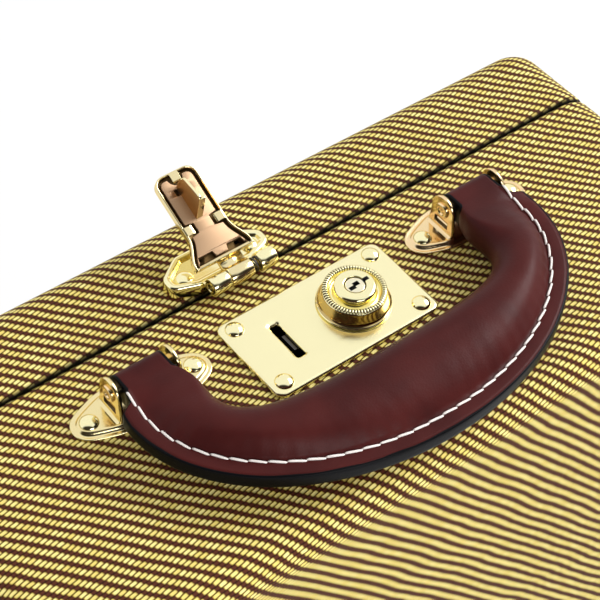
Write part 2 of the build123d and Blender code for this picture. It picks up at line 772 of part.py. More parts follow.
def hasp_backing():
    """The backing plate with the hook fin that goes through the lock's slot."""
    top = HASP_TOP - HASP_RIM + BACKING_SINK + BACKING_T
    low = top - BACKING_T
    plate = Pos(-LATCH_X, 0, low) * extrude(hasp_outline(HASP_SHEET + BACKING_GAP), BACKING_T)
    reach = FIN_RADIUS - FIN_START
    fin_box = Pos(FIN_START + reach / 2, (top - FIN_TIP) / 2) * Rectangle(reach, FIN_TIP + top)
    side = Circle(FIN_RADIUS) & fin_box
    bolt_s = AXIS_Y - PLATE_Y
    window_half = BOLT_W / 2 + FIN_BOLT_GAP
    window_top = BOLT_TOP - AXIS_Z + FIN_BOLT_GAP
    window_low = -FIN_TIP + FIN_WEB
    side -= Pos(bolt_s, (window_top + window_low) / 2) * Rectangle(2 * window_half, window_top - window_low)
    fin = extrude(side, FIN_T / 2, both=True)
    fin = Plane(origin=(-FIN_X, 0, 0), x_dir=(0, 1, 0), z_dir=(1, 0, 0)) * fin
    return open_hasp(plate + fin)


def mount_outline(inset):
    shapes = [
        Pos(-MOUNT_RIVET_X, 0) * Circle(MOUNT_LOBE_R - inset),
        Pos(MOUNT_RIVET_X, 0) * Circle(MOUNT_LOBE_R - inset),
        Rectangle(2 * EAR_X + EAR_T - 2 * inset, MOUNT_WAIST - 2 * inset),
    ]
    edges = []
    for shape in shapes:
        edges += shape.edges()
    return make_hull(edges)


def ear():
    """One upright ear with a rounded top, in the YZ plane."""
    top = Pos(0, PIN_Z) * Circle(EAR_W / 2) + Pos(0, PIN_Z / 2) * Rectangle(EAR_W, PIN_Z)
    top -= Pos(0, MOUNT_T + EAR_WINDOW_LIFT + EAR_WINDOW_H / 2) * Rectangle(EAR_WINDOW_W, EAR_WINDOW_H)
    solid = extrude(top, EAR_T / 2, both=True)
    return Plane(origin=(0, 0, 0), x_dir=(0, 1, 0), z_dir=(1, 0, 0)) * solid


def handle_mount(side):
    plate = extrude(mount_outline(0), MOUNT_T)
    plate += extrude(mount_outline(MOUNT_PAD_INSET), MOUNT_T + MOUNT_PAD)
    for direction in (-1, 1):
        plate += Pos(direction * EAR_X, 0, 0) * ear()
        plate -= Pos(direction * MOUNT_RIVET_X, 0, 0) * shank_hole()
    plate -= Pos(0, 0, PIN_Z) * rod(PIN_R, -CUT_REACH, CUT_REACH)
    return on_face(side * MOUNT_X, MOUNT_Y, 0) * plate


def handle_mount_rivets():
    top = MOUNT_T + MOUNT_PAD
    return Compound([on_face(x, y, top) * rivet(SKIN + top) for x, y in mount_rivet_places()])


def handle_pins():
    """Both pins, peened over outside the ears."""
    pins = []
    end = EAR_X + EAR_T / 2
    for side in (-1, 1):
        pin = rod(PIN_R, -end, end) + rod(PIN_HEAD_R, end, end + PIN_HEAD_T)
        pin += rod(PIN_HEAD_R, -end - PIN_HEAD_T, -end)
        pins.append(on_face(side * MOUNT_X, MOUNT_Y, PIN_Z) * pin)
    return Compound(pins)


def power(value, exponent):
    return math.copysign(abs(value) ** exponent, value)


def handle_station(angle):
    """Inner and outer edge of the handle at one angle round its bend, with its thickness."""
    s, c = math.sin(angle), math.cos(angle)
    inner = (INNER_HALF * power(s, 2 / INNER_POWER), BEND_Y - INNER_DROP * abs(c) ** (2 / INNER_POWER))
    outer = (OUTER_HALF * s, BEND_Y - OUTER_DROP * c)
    fade = max(0.0, (math.degrees(abs(angle)) - THINNING_START_DEG) / (90 - THINNING_START_DEG))
    return inner, outer, GRIP_T - GRIP_THINNING * fade * fade


def handle_stations():
    """Stations from the left leg round to the right leg."""
    start_y = MOUNT_Y - LEG_START
    legs = []
    for share, thick in ((1.0, 2 * LOOP_R), (LEG_MIDDLE, LEG_T)):
        y = BEND_Y + share * (start_y - BEND_Y)
        inner_x = INNER_HALF + share ** 2 * (MOUNT_X - LOOP_W / 2 - INNER_HALF)
        outer_x = OUTER_HALF + share ** 2 * (MOUNT_X + LOOP_W / 2 - OUTER_HALF)
        legs.append(((inner_x, y), (outer_x, y), thick))
    left = [((-i[0], i[1]), (-o[0], o[1]), t) for i, o, t in legs]
    bend = [handle_station(math.radians(a)) for a in range(-90, 91, STATION_STEP_DEG)]
    return left + bend + legs[::-1]


def handle_section(inner, outer, thick, skin, edge, flange):
    """A teardrop: a half round on the inner side that slopes down to a thin flange."""
    width = math.dist(inner, outer)
    x_dir = ((outer[0] - inner[0]) / width, (outer[1] - inner[1]) / width, 0)
    origin = (inner[0], SEAM_Y + inner[1], TOP_Z + PIN_Z)
    plane = Plane(origin=origin, x_dir=x_dir, z_dir=(-x_dir[1], x_dir[0], 0))
    r = thick / 2 - skin
    run = max(width - thick / 2 - flange, SHORTEST_SLOPE)
    drop = r - edge
    slope_r = (run ** 2 + drop ** 2) / (2 * drop)
    u0, u1, u2, u3 = skin, thick / 2, thick / 2 + run, width
    bend = u1 - (u1 - u0) * math.cos(math.pi / 4)
    lift = r * math.sin(math.pi / 4)
    lines = [
        ThreePointArc((u0, 0), (bend, lift), (u1, r)),
        RadiusArc((u1, r), (u2, edge), slope_r),
    ]
    if flange > 0:
        lines += [Line((u2, edge), (u3, edge)), Line((u3, edge), (u3, -edge)), Line((u3, -edge), (u2, -edge))]
    else:
        lines += [Line((u2, edge), (u2, -edge))]
    lines += [
        RadiusArc((u2, -edge), (u1, -r), slope_r),
        ThreePointArc((u1, -r), (bend, -lift), (u0, 0)),
    ]
    return plane * Face(Wire(lines))


def handle_form():
    """The outside of the leather, from leg to leg."""
    sections = []
    for inner, outer, thick in handle_stations():
        flange = min(FLANGE_W, FLANGE_SHARE * math.dist(inner, outer))
        sections.append(handle_section(inner, outer, thick, 0.0, FLANGE_T / 2, flange))
    return loft(sections)


def handle_core_form():
    """The padding, inside the leather and clear of its stitched flange."""
    sections = []
    for inner, outer, thick in handle_stations()[1:-1]:
        width = math.dist(inner, outer)
        flange = min(FLANGE_W, FLANGE_SHARE * width)
        shrink = (flange + LEATHER_T) / width
        end = (outer[0] + (inner[0] - outer[0]) * shrink, outer[1] + (inner[1] - outer[1]) * shrink)
        sections.append(handle_section(inner, end, thick, LEATHER_T, CORE_EDGE, 0.0))
    return loft(sections)


def strap_face():
    """The strap's flat shape in the handle's plane."""
    inner_points = []
    outer_points = []
    for inner, outer, thick in handle_stations():
        width = math.dist(inner, outer)
        ux, uy = (outer[0] - inner[0]) / width, (outer[1] - inner[1]) / width
        inner_points.append((inner[0] + ux * STRAP_INSET, inner[1] + uy * STRAP_INSET))
        reach = STRAP_INSET + STRAP_W
        outer_points.append((inner[0] + ux * reach, inner[1] + uy * reach))
    first = Spline(*inner_points)
    second = Spline(*outer_points[::-1])
    ends = [Line(inner_points[-1], outer_points[-1]), Line(outer_points[0], inner_points[0])]
    return Face(Wire([first, ends[0], second, ends[1]]))


def handle_strap():
    """The steel strap through the handle, with an eye round each pin."""
    strap = on_face(0, 0, PIN_Z - STRAP_T / 2) * extrude(strap_face(), STRAP_T)
    x0 = MOUNT_X - LOOP_W / 2 + STRAP_INSET
    for side in (-1, 1):
        low, high = sorted((side * x0, side * (x0 + STRAP_W)))
        strap += on_face(0, MOUNT_Y, PIN_Z) * rod(PIN_R + RUNNING_FIT + EYE_T, low, high)
        end = block(low, high, -LEG_START - LEG_OVERLAP, 0, -STRAP_T / 2, STRAP_T / 2)
        strap += on_face(0, MOUNT_Y, PIN_Z) * end
        strap -= on_face(0, MOUNT_Y, PIN_Z) * rod(PIN_R + RUNNING_FIT, low - CUT_REACH, high + CUT_REACH)
    return strap


def handle_core():
    return handle_core_form() - handle_strap()


def handle_leather():
    leather = handle_form()
    for side in (-1, 1):
        x0, x1 = side * MOUNT_X - LOOP_W / 2, side * MOUNT_X + LOOP_W / 2
        leather += on_face(0, MOUNT_Y, PIN_Z) * rod(LOOP_R, x0, x1)
        leather += on_face(0, MOUNT_Y, PIN_Z) * block(x0, x1, -LEG_START - LEG_OVERLAP, 0, -LOOP_R, LOOP_R)
        leather -= on_face(0, MOUNT_Y, PIN_Z) * rod(PIN_R + RUNNING_FIT, x0 - CUT_REACH, x1 + CUT_REACH)
    return leather - handle_core_form() - handle_strap()


NODES = {
    "base_panel": lambda: in_base(tray_panel(BASE_DEPTH)),
    "base_walls": base_walls,
    "base_tweed": base_tweed,
    "base_lining": lambda: in_base(tray_lining(BASE_FLOOR, BASE_LINING)),
    "base_tongue": base_tongue,
    "rack_block": rack_block,
    "rack_dividers": rack_dividers,
    "rack_rails": rack_rails,
    "partition": partition,
    "feet": feet,
    "foot_nails": foot_nails,
    "hinge_base_leaf_left": lambda: hinge_leaf_part(-1, -1),
    "hinge_base_leaf_right": lambda: hinge_leaf_part(1, -1),
    "hinge_base_rivets": lambda: hinge_rivets(-1),
    "hinge_pins": hinge_pins,
    "lock_plate": lock_plate,
    "lock_rivets": lock_rivets,
    "lock_case": lock_case,
    "bolt_spring": bolt_spring,
    "handle_mount_left": lambda: handle_mount(-1),
    "handle_mount_right": lambda: handle_mount(1),
    "handle_mount_rivets": handle_mount_rivets,
    "handle_pins": handle_pins,
    "lid_panel": lambda: in_lid(tray_panel(LID_DEPTH)),
    "lid_walls": lid_walls,
    "lid_tweed": lid_tweed,
    "lid_lining": lambda: in_lid(tray_lining(LID_FLOOR, LID_LINING)),
    "lid_pad": lid_pad,
    "hinge_lid_leaf_left": lambda: hinge_leaf_part(-1, 1),
    "hinge_lid_leaf_right": lambda: hinge_leaf_part(1, 1),
    "hinge_lid_rivets": lambda: hinge_rivets(1),
    "latch_bracket": latch_bracket,
    "latch_rivets": latch_rivets,
    "latch_pin": latch_pin,
    "latch_spring": latch_spring,
    "hasp_cover": hasp_cover,
    "hasp_backing": hasp_backing,
    "knob_body": knob_body,
    "knob_ring": knob_ring,
    "bolt": bolt,
    "key_plug": key_plug,
    "key_cam": key_cam,
    "handle_leather": handle_leather,
    "handle_core": handle_core,
    "handle_strap": handle_strap,
}

os.makedirs("parts", exist_ok=True)
for name, make in NODES.items():
    export_step(make(), f"parts/{name}.step")
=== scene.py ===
import json
import math
import random

import bmesh
import bpy
import numpy as np
from mathutils import Matrix, Vector, noise
from mathutils.geometry import tessellate_polygon


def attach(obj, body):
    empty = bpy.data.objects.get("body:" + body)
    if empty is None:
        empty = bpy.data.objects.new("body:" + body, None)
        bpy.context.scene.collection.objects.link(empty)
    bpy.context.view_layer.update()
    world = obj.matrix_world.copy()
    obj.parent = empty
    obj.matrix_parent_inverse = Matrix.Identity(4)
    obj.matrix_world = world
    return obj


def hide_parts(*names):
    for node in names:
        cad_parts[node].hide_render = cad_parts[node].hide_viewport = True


# Everything is laid out in millimetres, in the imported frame's own axes, and scaled
# to metres when a mesh is made. Face coordinates start from the middle of the seam
# on the handle side: x along the seam, y towards the lid, z out of the face.
MM = 0.001
LENGTH, HEIGHT = 260.0, 200.0
BASE_DEPTH, LID_DEPTH = 85.0, 32.0
CORNER_R, EDGE_R = 14.0, 9.5
SKIN, RIM, ROLL_R, CLOTH = 8.0, 0.35, 1.6, 1.0
ROW_SPACING, SIDE_ROWS, CORNER_ROWS = 6.0, 30, 12
SEAM_Y, FOOT_H = 26.5, 8.0
TOP_Z, MID_Z = FOOT_H + HEIGHT, FOOT_H + HEIGHT / 2

# The weave: how fast its slanted rows and its threads go by, for each millimetre of
# flat cloth, how the rows lean inside a thread, and how much of a row is yellow.
ROWS_U, ROWS_V, THREADS_U, THREADS_V = -0.241, -0.200, 0.116, -0.779
ROW_LEAN, YELLOW_SHARE = -0.16, 0.62

# Inside of the case, as depths from the seam and insets from the outline.
BASE_FLOOR, LID_FLOOR = 79.0, 26.0
BASE_LINING, LID_LINING = 1.2, 0.8
TONGUE_INSET, TONGUE_T, TONGUE_RISE = 9.2, 3.0, 6.0
PAD_INSET, PAD_CROWN, PAD_CORNER_R, PAD_SWELL = 15.8, 19.0, 12.0, 3.0
PAD_LAYERS = ((0.0, 3.0), (0.3, 0.0), (0.65, 2.5), (0.9, 13.0), (1.0, 34.0))
RACK_X0, RACK_X1, RACK_Z0, RACK_Z1 = -120.6, -5.6, 17.4, 198.6
RACK_FLOOR, RACK_TOP, SLOT_FLOOR = -51.3, 20.5, 4.5
SLOT_COUNT, DIVIDER, RAIL, PARTITION = 7, 4.6, 6.0, 5.0

# Lock and knob.
PLATE_L, PLATE_W, PLATE_T, PLATE_Y = 58.0, 31.4, 1.5, -28.3
PLATE_CORNER_R, PLATE_EDGE_R = 3.0, 1.1
PLATE_RIVET_X, PLATE_RIVET_Y = 24.5, 11.5
SLOT_X, SLOT_Y, SLOT_HALF_W, SLOT_HALF_L = -14.5, -28.225, 1.4, 6.58
LOCK_HOLE_HALF, LOCK_HOLE_NEAR, LOCK_HOLE_FAR = 26.3, 19.5, 37.1
KNOB_X, KNOB_TEETH = 9.0, 64

# Latch: the open hasp turns about an axis along x.
LATCH_X, AXIS_Y, AXIS_Z = -14.3, -3.0, 5.5
BARREL_R, LATCH_PIN_R = 2.85, 1.25
LEFT_KNUCKLE, HASP_KNUCKLE, RIGHT_KNUCKLE = (-22.9, -17.0), (-16.7, -8.9), (-6.4, -0.7)
BRACKET_RIVET_X, BRACKET_RIVET_Y, BRACKET_FLOOR = 11.4, 5.6, 3.4
HASP_OPEN = math.radians(155.0)
HASP_L, HASP_HALF, HASP_ROOT_HALF, HASP_ROOT, HASP_NECK = 34.9, 7.0, 10.0, 5.5, 15.0
HASP_TIP_R, TAB_S, FIN_A = 3.4, 17.0, -0.8

# Handle and its mounts.
MOUNT_X, MOUNT_Y, PIN_Z, MOUNT_TOP = 58.3, -20.5, 9.2, 1.55
LOBE_X, LOBE_R, WAIST_HALF = 17.0, 5.5, 8.25
EAR_OUT, EAR_T, EAR_HALF, EAR_FOOT_HALF, EAR_BEND = 10.3, 1.2, 4.5, 4.9, 1.1
WINDOW_HALF, WINDOW_LOW, WINDOW_TOP = 2.8, 3.1, 5.5
LOOP_R, LOOP_W, LEG_START, BEND_Y = 3.8, 15.6, 4.2, -34.5
OUTER_HALF, OUTER_DROP = 71.2, 50.0
INNER_HALF, INNER_DROP, INNER_POWER = 47.8, 18.3, 3.5
GRIP_T, GRIP_THINNING, THINNING_START = 17.4, 3.4, math.radians(55.0)
FLANGE_T, FLANGE_W, EDGE_W, CREASE_DIP = 4.6, 5.2, 0.5, 0.55
FLAT_FADE, SWELL_LENGTH = 24.0, 36.0
PUCKER, UNEVEN, UNEVEN_SCALE = 0.35, 0.22, 0.09
STITCH, STITCH_GAP, THREAD_R = 4.7, 0.2, 0.36
STITCH_RISE, STITCH_SUNK, STITCH_OFF, STITCH_SLANT = 0.55, 0.36, 0.75, 0.5

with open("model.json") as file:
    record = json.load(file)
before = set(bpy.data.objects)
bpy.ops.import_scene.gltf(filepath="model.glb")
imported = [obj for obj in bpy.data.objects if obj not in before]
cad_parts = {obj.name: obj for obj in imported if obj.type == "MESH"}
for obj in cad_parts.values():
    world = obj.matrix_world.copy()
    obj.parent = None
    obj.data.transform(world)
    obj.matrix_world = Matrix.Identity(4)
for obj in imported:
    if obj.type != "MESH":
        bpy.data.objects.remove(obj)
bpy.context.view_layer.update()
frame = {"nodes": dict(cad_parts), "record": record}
rng = random.Random(7)


# Materials

def srgb(r, g, b):
    """Linear colour of an sRGB triple given from 0 to 255."""
    values = [c / 255.0 for c in (r, g, b)]
    return tuple(c / 12.92 if c <= 0.04045 else ((c + 0.055) / 1.055) ** 2.4 for c in values) + (1.0,)


class Nodes:
    """Short calls for making the nodes of one tree."""

    def __init__(self, tree):
        self.tree = tree
        self.tree.nodes.clear()

    def link(self, a, b):
        self.tree.links.new(a, b)

    def node(self, kind, inputs=(), **props):
        node = self.tree.nodes.new(kind)
        for key, value in props.items():
            setattr(node, key, value)
        for key, value in dict(inputs).items():
            if isinstance(value, bpy.types.NodeSocket):
                self.link(value, node.inputs[key])
            elif value is not None:
                node.inputs[key].default_value = value
        return node

    def math(self, operation, a, b=None, c=None, clamp=False):
        node = self.node("ShaderNodeMath", {0: a, 1: b, 2: c}, operation=operation, use_clamp=clamp)
        return node.outputs[0]

    def plus(self, a, b):
        return self.math("ADD", a, b)

    def minus(self, a, b, clamp=False):
        return self.math("SUBTRACT", a, b, clamp=clamp)

    def times(self, a, b):
        return self.math("MULTIPLY", a, b)

    def times_plus(self, a, b, c):
        return self.math("MULTIPLY_ADD", a, b, c)

    def larger(self, a, b):
        return self.math("MAXIMUM", a, b)

    def steps(self, value, low, high, to_low=0.0, to_high=1.0):
        inputs = {0: value, 1: low, 2: high, 3: to_low, 4: to_high}
        return self.node("ShaderNodeMapRange", inputs, interpolation_type="SMOOTHSTEP").outputs[0]

    def mix(self, factor, a, b):
        return self.node("ShaderNodeMix", {0: factor, 6: a, 7: b}, data_type="RGBA").outputs[2]

    def mix_shaders(self, factor, a, b):
        return self.node("ShaderNodeMixShader", {0: factor, 1: a, 2: b}).outputs[0]


class Shader(Nodes):
    """A material with a Principled shader."""

    def __init__(self, name, **constants):
        self.material = bpy.data.materials.new(name)
        self.material.use_nodes = True
        super().__init__(self.material.node_tree)
        self.out = self.node("ShaderNodeOutputMaterial")
        self.bsdf = self.node("ShaderNodeBsdfPrincipled")
        self.link(self.bsdf.outputs[0], self.out.inputs["Surface"])
        for key, value in constants.items():
            self.bsdf.inputs[key.replace("_", " ")].default_value = value

    def noise(self, scale, detail=2.0, vector=None, rough=0.5, dims="3D"):
        inputs = {"Vector": vector, "Scale": scale, "Detail": detail, "Roughness": rough}
        return self.node("ShaderNodeTexNoise", inputs, noise_dimensions=dims).outputs[0]

    def place(self):
        return self.node("ShaderNodeTexCoord").outputs["Object"]

    def bump(self, height, distance, strength=1.0):
        inputs = {"Height": height, "Distance": distance, "Strength": strength}
        return self.node("ShaderNodeBump", inputs).outputs[0]

    def set(self, key, socket):
        self.link(socket, self.bsdf.inputs[key])


def tweed():
    """Slanted yellow floats in diagonal rows on dark brown, from the cloth's own flat coordinates, with
    painted shade: darker edges on the round threads, dark olive grooves between them, and a dark band in the
    narrow gap at the seam.
    """
    s = Shader("tweed", Roughness=0.6, IOR=1.45, Specular_IOR_Level=0.12)
    flat = s.node("ShaderNodeUVMap", uv_map="cloth").outputs[0]
    xyz = s.node("ShaderNodeSeparateXYZ", {0: flat})
    u, v = xyz.outputs[0], xyz.outputs[1]
    drift = s.minus(s.noise(0.035, 2, flat, dims="2D"), 0.5)
    tremble = s.minus(s.noise(0.35, 1, flat, dims="2D"), 0.5)
    rows = s.plus(s.times(u, ROWS_U), s.times(v, ROWS_V))
    rows = s.times_plus(drift, 0.5, rows)
    threads = s.plus(s.times(u, THREADS_U), s.times(v, THREADS_V))
    threads = s.times_plus(tremble, 0.25, threads)
    index = s.math("FLOOR", threads)
    q = s.minus(threads, index)
    rows = s.times_plus(s.minus(q, 0.5), ROW_LEAN, rows)
    chance = s.node("ShaderNodeTexWhiteNoise", {"W": index}, noise_dimensions="1D").outputs[0]
    rows = s.times_plus(chance, 0.06, rows)
    row = s.math("FLOOR", rows)
    p = s.minus(rows, row)
    across = s.math("ABSOLUTE", s.times_plus(q, 2.0, -1.0))
    round_q = s.math("SQRT", s.minus(1.0, s.times(across, across), clamp=True))
    along = s.math("ABSOLUTE", s.times_plus(p, 2 / YELLOW_SHARE, -1.0))
    end = s.steps(along, 0.90, 1.02, 1.0, 0.0)
    edge = s.steps(across, 0.70, 0.94, 1.0, 0.0)
    float_mask = s.times(end, edge)
    bow = s.minus(1.0, s.times(along, s.times(along, along)), clamp=True)
    float_height = s.times(s.times_plus(bow, 0.5, 0.5), round_q)
    cell = s.node("ShaderNodeCombineXYZ", {0: row, 1: index}).outputs[0]
    luck = s.node("ShaderNodeTexWhiteNoise", {"Vector": cell}, noise_dimensions="2D").outputs[0]
    fibres = s.noise(9.0, 2, flat, dims="2D")
    pale = s.mix(luck, srgb(232, 212, 120), srgb(250, 238, 160))
    # Painted shade: each yellow float is painted darker where it is low, at its ends and edges.
    yellow = s.mix(s.steps(float_height, 0.45, 0.95), srgb(150, 124, 36), pale)
    yellow = s.mix(s.times(fibres, 0.3), yellow, srgb(206, 178, 78))
    # Painted shade: the brown threads go nearly black towards their edges, and the grooves between the
    # threads are painted dark olive.
    brown = s.mix(s.steps(round_q, 0.25, 1.0), srgb(14, 4, 1), srgb(84, 43, 28))
    olive = s.mix(s.steps(across, 0.75, 1.0), srgb(112, 88, 20), srgb(38, 24, 4))
    between = s.mix(end, brown, olive)
    # Painted shade: the colour is painted nearly black in the narrow gap between the halves, following the
    # seam layer.
    seam = s.node("ShaderNodeUVMap", uv_map="seam").outputs[0]
    depth = s.node("ShaderNodeSeparateXYZ", {0: seam}).outputs[0]
    seam_lit = s.steps(depth, 0.0, 0.85)
    s.set("Base Color", s.mix(seam_lit, srgb(12, 12, 3), s.mix(float_mask, between, yellow)))
    raised = s.times(float_height, float_mask)
    height = s.larger(raised, s.times(round_q, 0.35))
    height = s.times_plus(fibres, 0.12, height)
    s.set("Normal", s.bump(height, 0.0003, 0.85))
    return s.material


def metal(name, colour, rough, edge=(1.0, 0.86, 0.6)):
    """Polished plating with faint scratches and a little unevenness."""
    s = Shader(name, Metallic=1.0, Specular_Tint=edge + (1.0,))
    scratch = 0.04
    place = s.place()
    stretched = s.node("ShaderNodeMapping", {0: place, 3: (60.0, 900.0, 900.0)}).outputs[0]
    fine = s.noise(1.0, 3, stretched)
    blotch = s.noise(180.0, 3, place)
    dull = tuple(0.86 * c for c in colour) + (1.0,)
    s.set("Base Color", s.mix(s.times(blotch, 0.25), colour + (1.0,), dull))
    level = s.times_plus(fine, scratch, rough - scratch / 2)
    s.set("Roughness", s.times_plus(blotch, scratch, level))
    s.set("Normal", s.bump(s.times_plus(fine, 0.3, blotch), 0.00002, 0.35))
    return s.material


def leather(name, low, high, rough, level):
    """Smooth grained leather with small pores and a soft change of colour."""
    s = Shader(name, IOR=1.5, Specular_IOR_Level=level)
    place = s.place()
    grain = s.node("ShaderNodeTexVoronoi", {"Vector": place, "Scale": 1500.0}, feature="F1").outputs[0]
    pores = s.noise(900.0, 3, place, 0.6)
    cloud = s.noise(55.0, 3, place)
    s.set("Base Color", s.mix(s.steps(cloud, 0.3, 0.7), low, high))
    s.set("Roughness", s.times_plus(pores, 0.14, rough - 0.07))
    height = s.times_plus(pores, 0.5, s.times(grain, 0.6))
    s.set("Normal", s.bump(height, 0.00006, 0.55))
    return s.material


def plush(name, colour):
    """Short pile with a brushed sheen."""
    s = Shader(name, Roughness=0.95, Sheen_Weight=0.5, Sheen_Roughness=0.45, Specular_IOR_Level=0.1)
    place = s.place()
    pile = s.noise(2200.0, 2, place, 0.7)
    brushed = s.noise(38.0, 3, place)
    dark = tuple(0.55 * c for c in colour[:3]) + (1.0,)
    tone = s.mix(s.steps(brushed, 0.35, 0.65), dark, colour)
    s.set("Base Color", s.mix(s.times(pile, 0.5), tone, dark))
    s.set("Normal", s.bump(s.times_plus(brushed, 0.4, pile), 0.0003, 0.7))
    return s.material


def wood():
    """Pale board with long grain."""
    s = Shader("board", Roughness=0.6)
    long = s.node("ShaderNodeMapping", {0: s.place(), 3: (6.0, 120.0, 120.0)}).outputs[0]
    rings = s.noise(1.0, 5, long, 0.6)
    s.set("Base Color", s.mix(s.steps(rings, 0.3, 0.7), srgb(150, 110, 70), srgb(196, 158, 112)))
    s.set("Normal", s.bump(rings, 0.0002, 0.4))
    return s.material


def plain(name, low, high, rough, scale, depth, **constants):
    """A dull surface with two tones and a fine texture."""
    s = Shader(name, **constants)
    place = s.place()
    cloud = s.noise(scale, 3, place)
    fine = s.noise(scale * 9, 2, place)
    s.set("Base Color", s.mix(cloud, low, high))
    s.set("Roughness", s.times_plus(fine, 0.15, rough - 0.075))
    s.set("Normal", s.bump(fine, depth, 0.5))
    return s.material


TWEED = tweed()
GOLD = metal("gold", (0.97, 0.90, 0.54), 0.11)
PLATE_GOLD = metal("plate_gold", (0.97, 0.90, 0.55), 0.2)
PALE_GOLD = metal("pale_rose_gold", (0.92, 0.71, 0.41), 0.14)
MOUNT_GOLD = metal("mount_gold", (0.88, 0.75, 0.40), 0.14)
HASP_GOLD = metal("hasp_gold", (0.84, 0.72, 0.41), 0.12)
# A darker gold for the knob's flank: a painted dark reflection.
FLANK_DARK_REFLECTION = metal("flank_painted_dark_reflection", (0.56, 0.42, 0.18), 0.1)
ROSE = metal("rose_backing", (0.50, 0.33, 0.20), 0.5, (1.0, 0.8, 0.65))
# Dull orange for the fin's sides: a painted reflection of the rose backing.
FIN_SIDE_REFLECTION = metal("fin_sides_painted_reflection", (0.78, 0.46, 0.19), 0.34)
# Dark gold painted as the shade inside the hasp's channel and on the walls of the ears' windows.
INSIDE_SHADE = metal("inside_painted_shade", (0.16, 0.10, 0.04), 0.5)
GROOVE = metal("groove_shade", (0.16, 0.11, 0.03), 0.35)
STEEL = metal("steel", (0.10, 0.095, 0.09), 0.3, (0.6, 0.6, 0.6))
PLUG = metal("plug_plating", (0.90, 0.84, 0.62), 0.16)
SPRING = metal("spring_steel", (0.10, 0.09, 0.08), 0.3, (1.0, 1.0, 1.0))
# Near black, painted as the shade in the keyway, round the plug and in the knob's index notch.
PIT_SHADE = plain("pit_painted_shade", srgb(8, 6, 4), srgb(16, 12, 8), 0.6, 900.0, 0.00002, Specular_IOR_Level=0.1)
LEATHER = leather("oxblood_leather", srgb(57, 16, 15), srgb(71, 24, 22), 0.40, 0.11)
EDGE_PAINT = leather("edge_paint", srgb(4, 4, 6), srgb(10, 10, 13), 0.36, 0.08)
THREAD = plain("stitch_thread", srgb(226, 216, 210), srgb(248, 243, 238), 0.75, 900.0, 0.00005)
PLUSH = plush("plush", srgb(112, 22, 34))
BOARD = wood()
PADDING = plain("padding", srgb(150, 138, 120), srgb(180, 168, 148), 0.9, 260.0, 0.0002)
RUBBER = plain("foot_rubber", srgb(22, 22, 22), srgb(34, 34, 34), 0.6, 300.0, 0.00006)
MATERIALS = {
    "tweed": TWEED, "board": BOARD, "plush": PLUSH, "gold": GOLD, "rose_gold": PALE_GOLD, "steel": STEEL,
    "spring_steel": SPRING, "leather": LEATHER, "padding": PADDING, "foot_rubber": RUBBER,
}

for part in frame["record"]["subparts"]:
    node = frame["nodes"][part["node"]]
    node.data.materials.clear()
    node.data.materials.append(MATERIALS[part["material_slot"]])


# Mesh helpers

def on_face(x, y, z):
    return (x, SEAM_Y + y, TOP_Z + z)


def smooth_step(t):
    t = min(1.0, max(0.0, t))
    return t * t * (3 - 2 * t)


def between(a, b, t):
    return a + (b - a) * t


def turns(whole, count):
    """Evenly spaced angles, or other values, from 0 to whole, both included."""
    return [whole * k / count for k in range(count + 1)]


def run_lengths(points):
    """How far along an open line each of its points is."""
    lengths = [0.0]
    for a, b in zip(points, points[1:]):
        lengths.append(lengths[-1] + math.dist(a, b))
    return lengths


def add_object(name, data):
    thing = bpy.data.objects.new(name, data)
    bpy.context.scene.collection.objects.link(thing)
    return thing


def make(name, points, faces, material, body, replaces=(), uvs=None):
    """A mesh piece from points in millimetres. uvs has one pair for each corner of each face."""
    mesh = bpy.data.meshes.new(name)
    mesh.from_pydata([tuple(c * MM for c in p) for p in points], [], [list(f) for f in faces])
    mesh.materials.append(material)
    if uvs is not None:
        layer = mesh.uv_layers.new(name="cloth")
        layer.data.foreach_set("uv", np.array(uvs, np.float32).ravel())
    mesh.polygons.foreach_set("use_smooth", [True] * len(mesh.polygons))
    mesh.update()
    piece = add_object(name, mesh)
    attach(piece, body)
    if replaces:
        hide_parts(*replaces)
    return piece


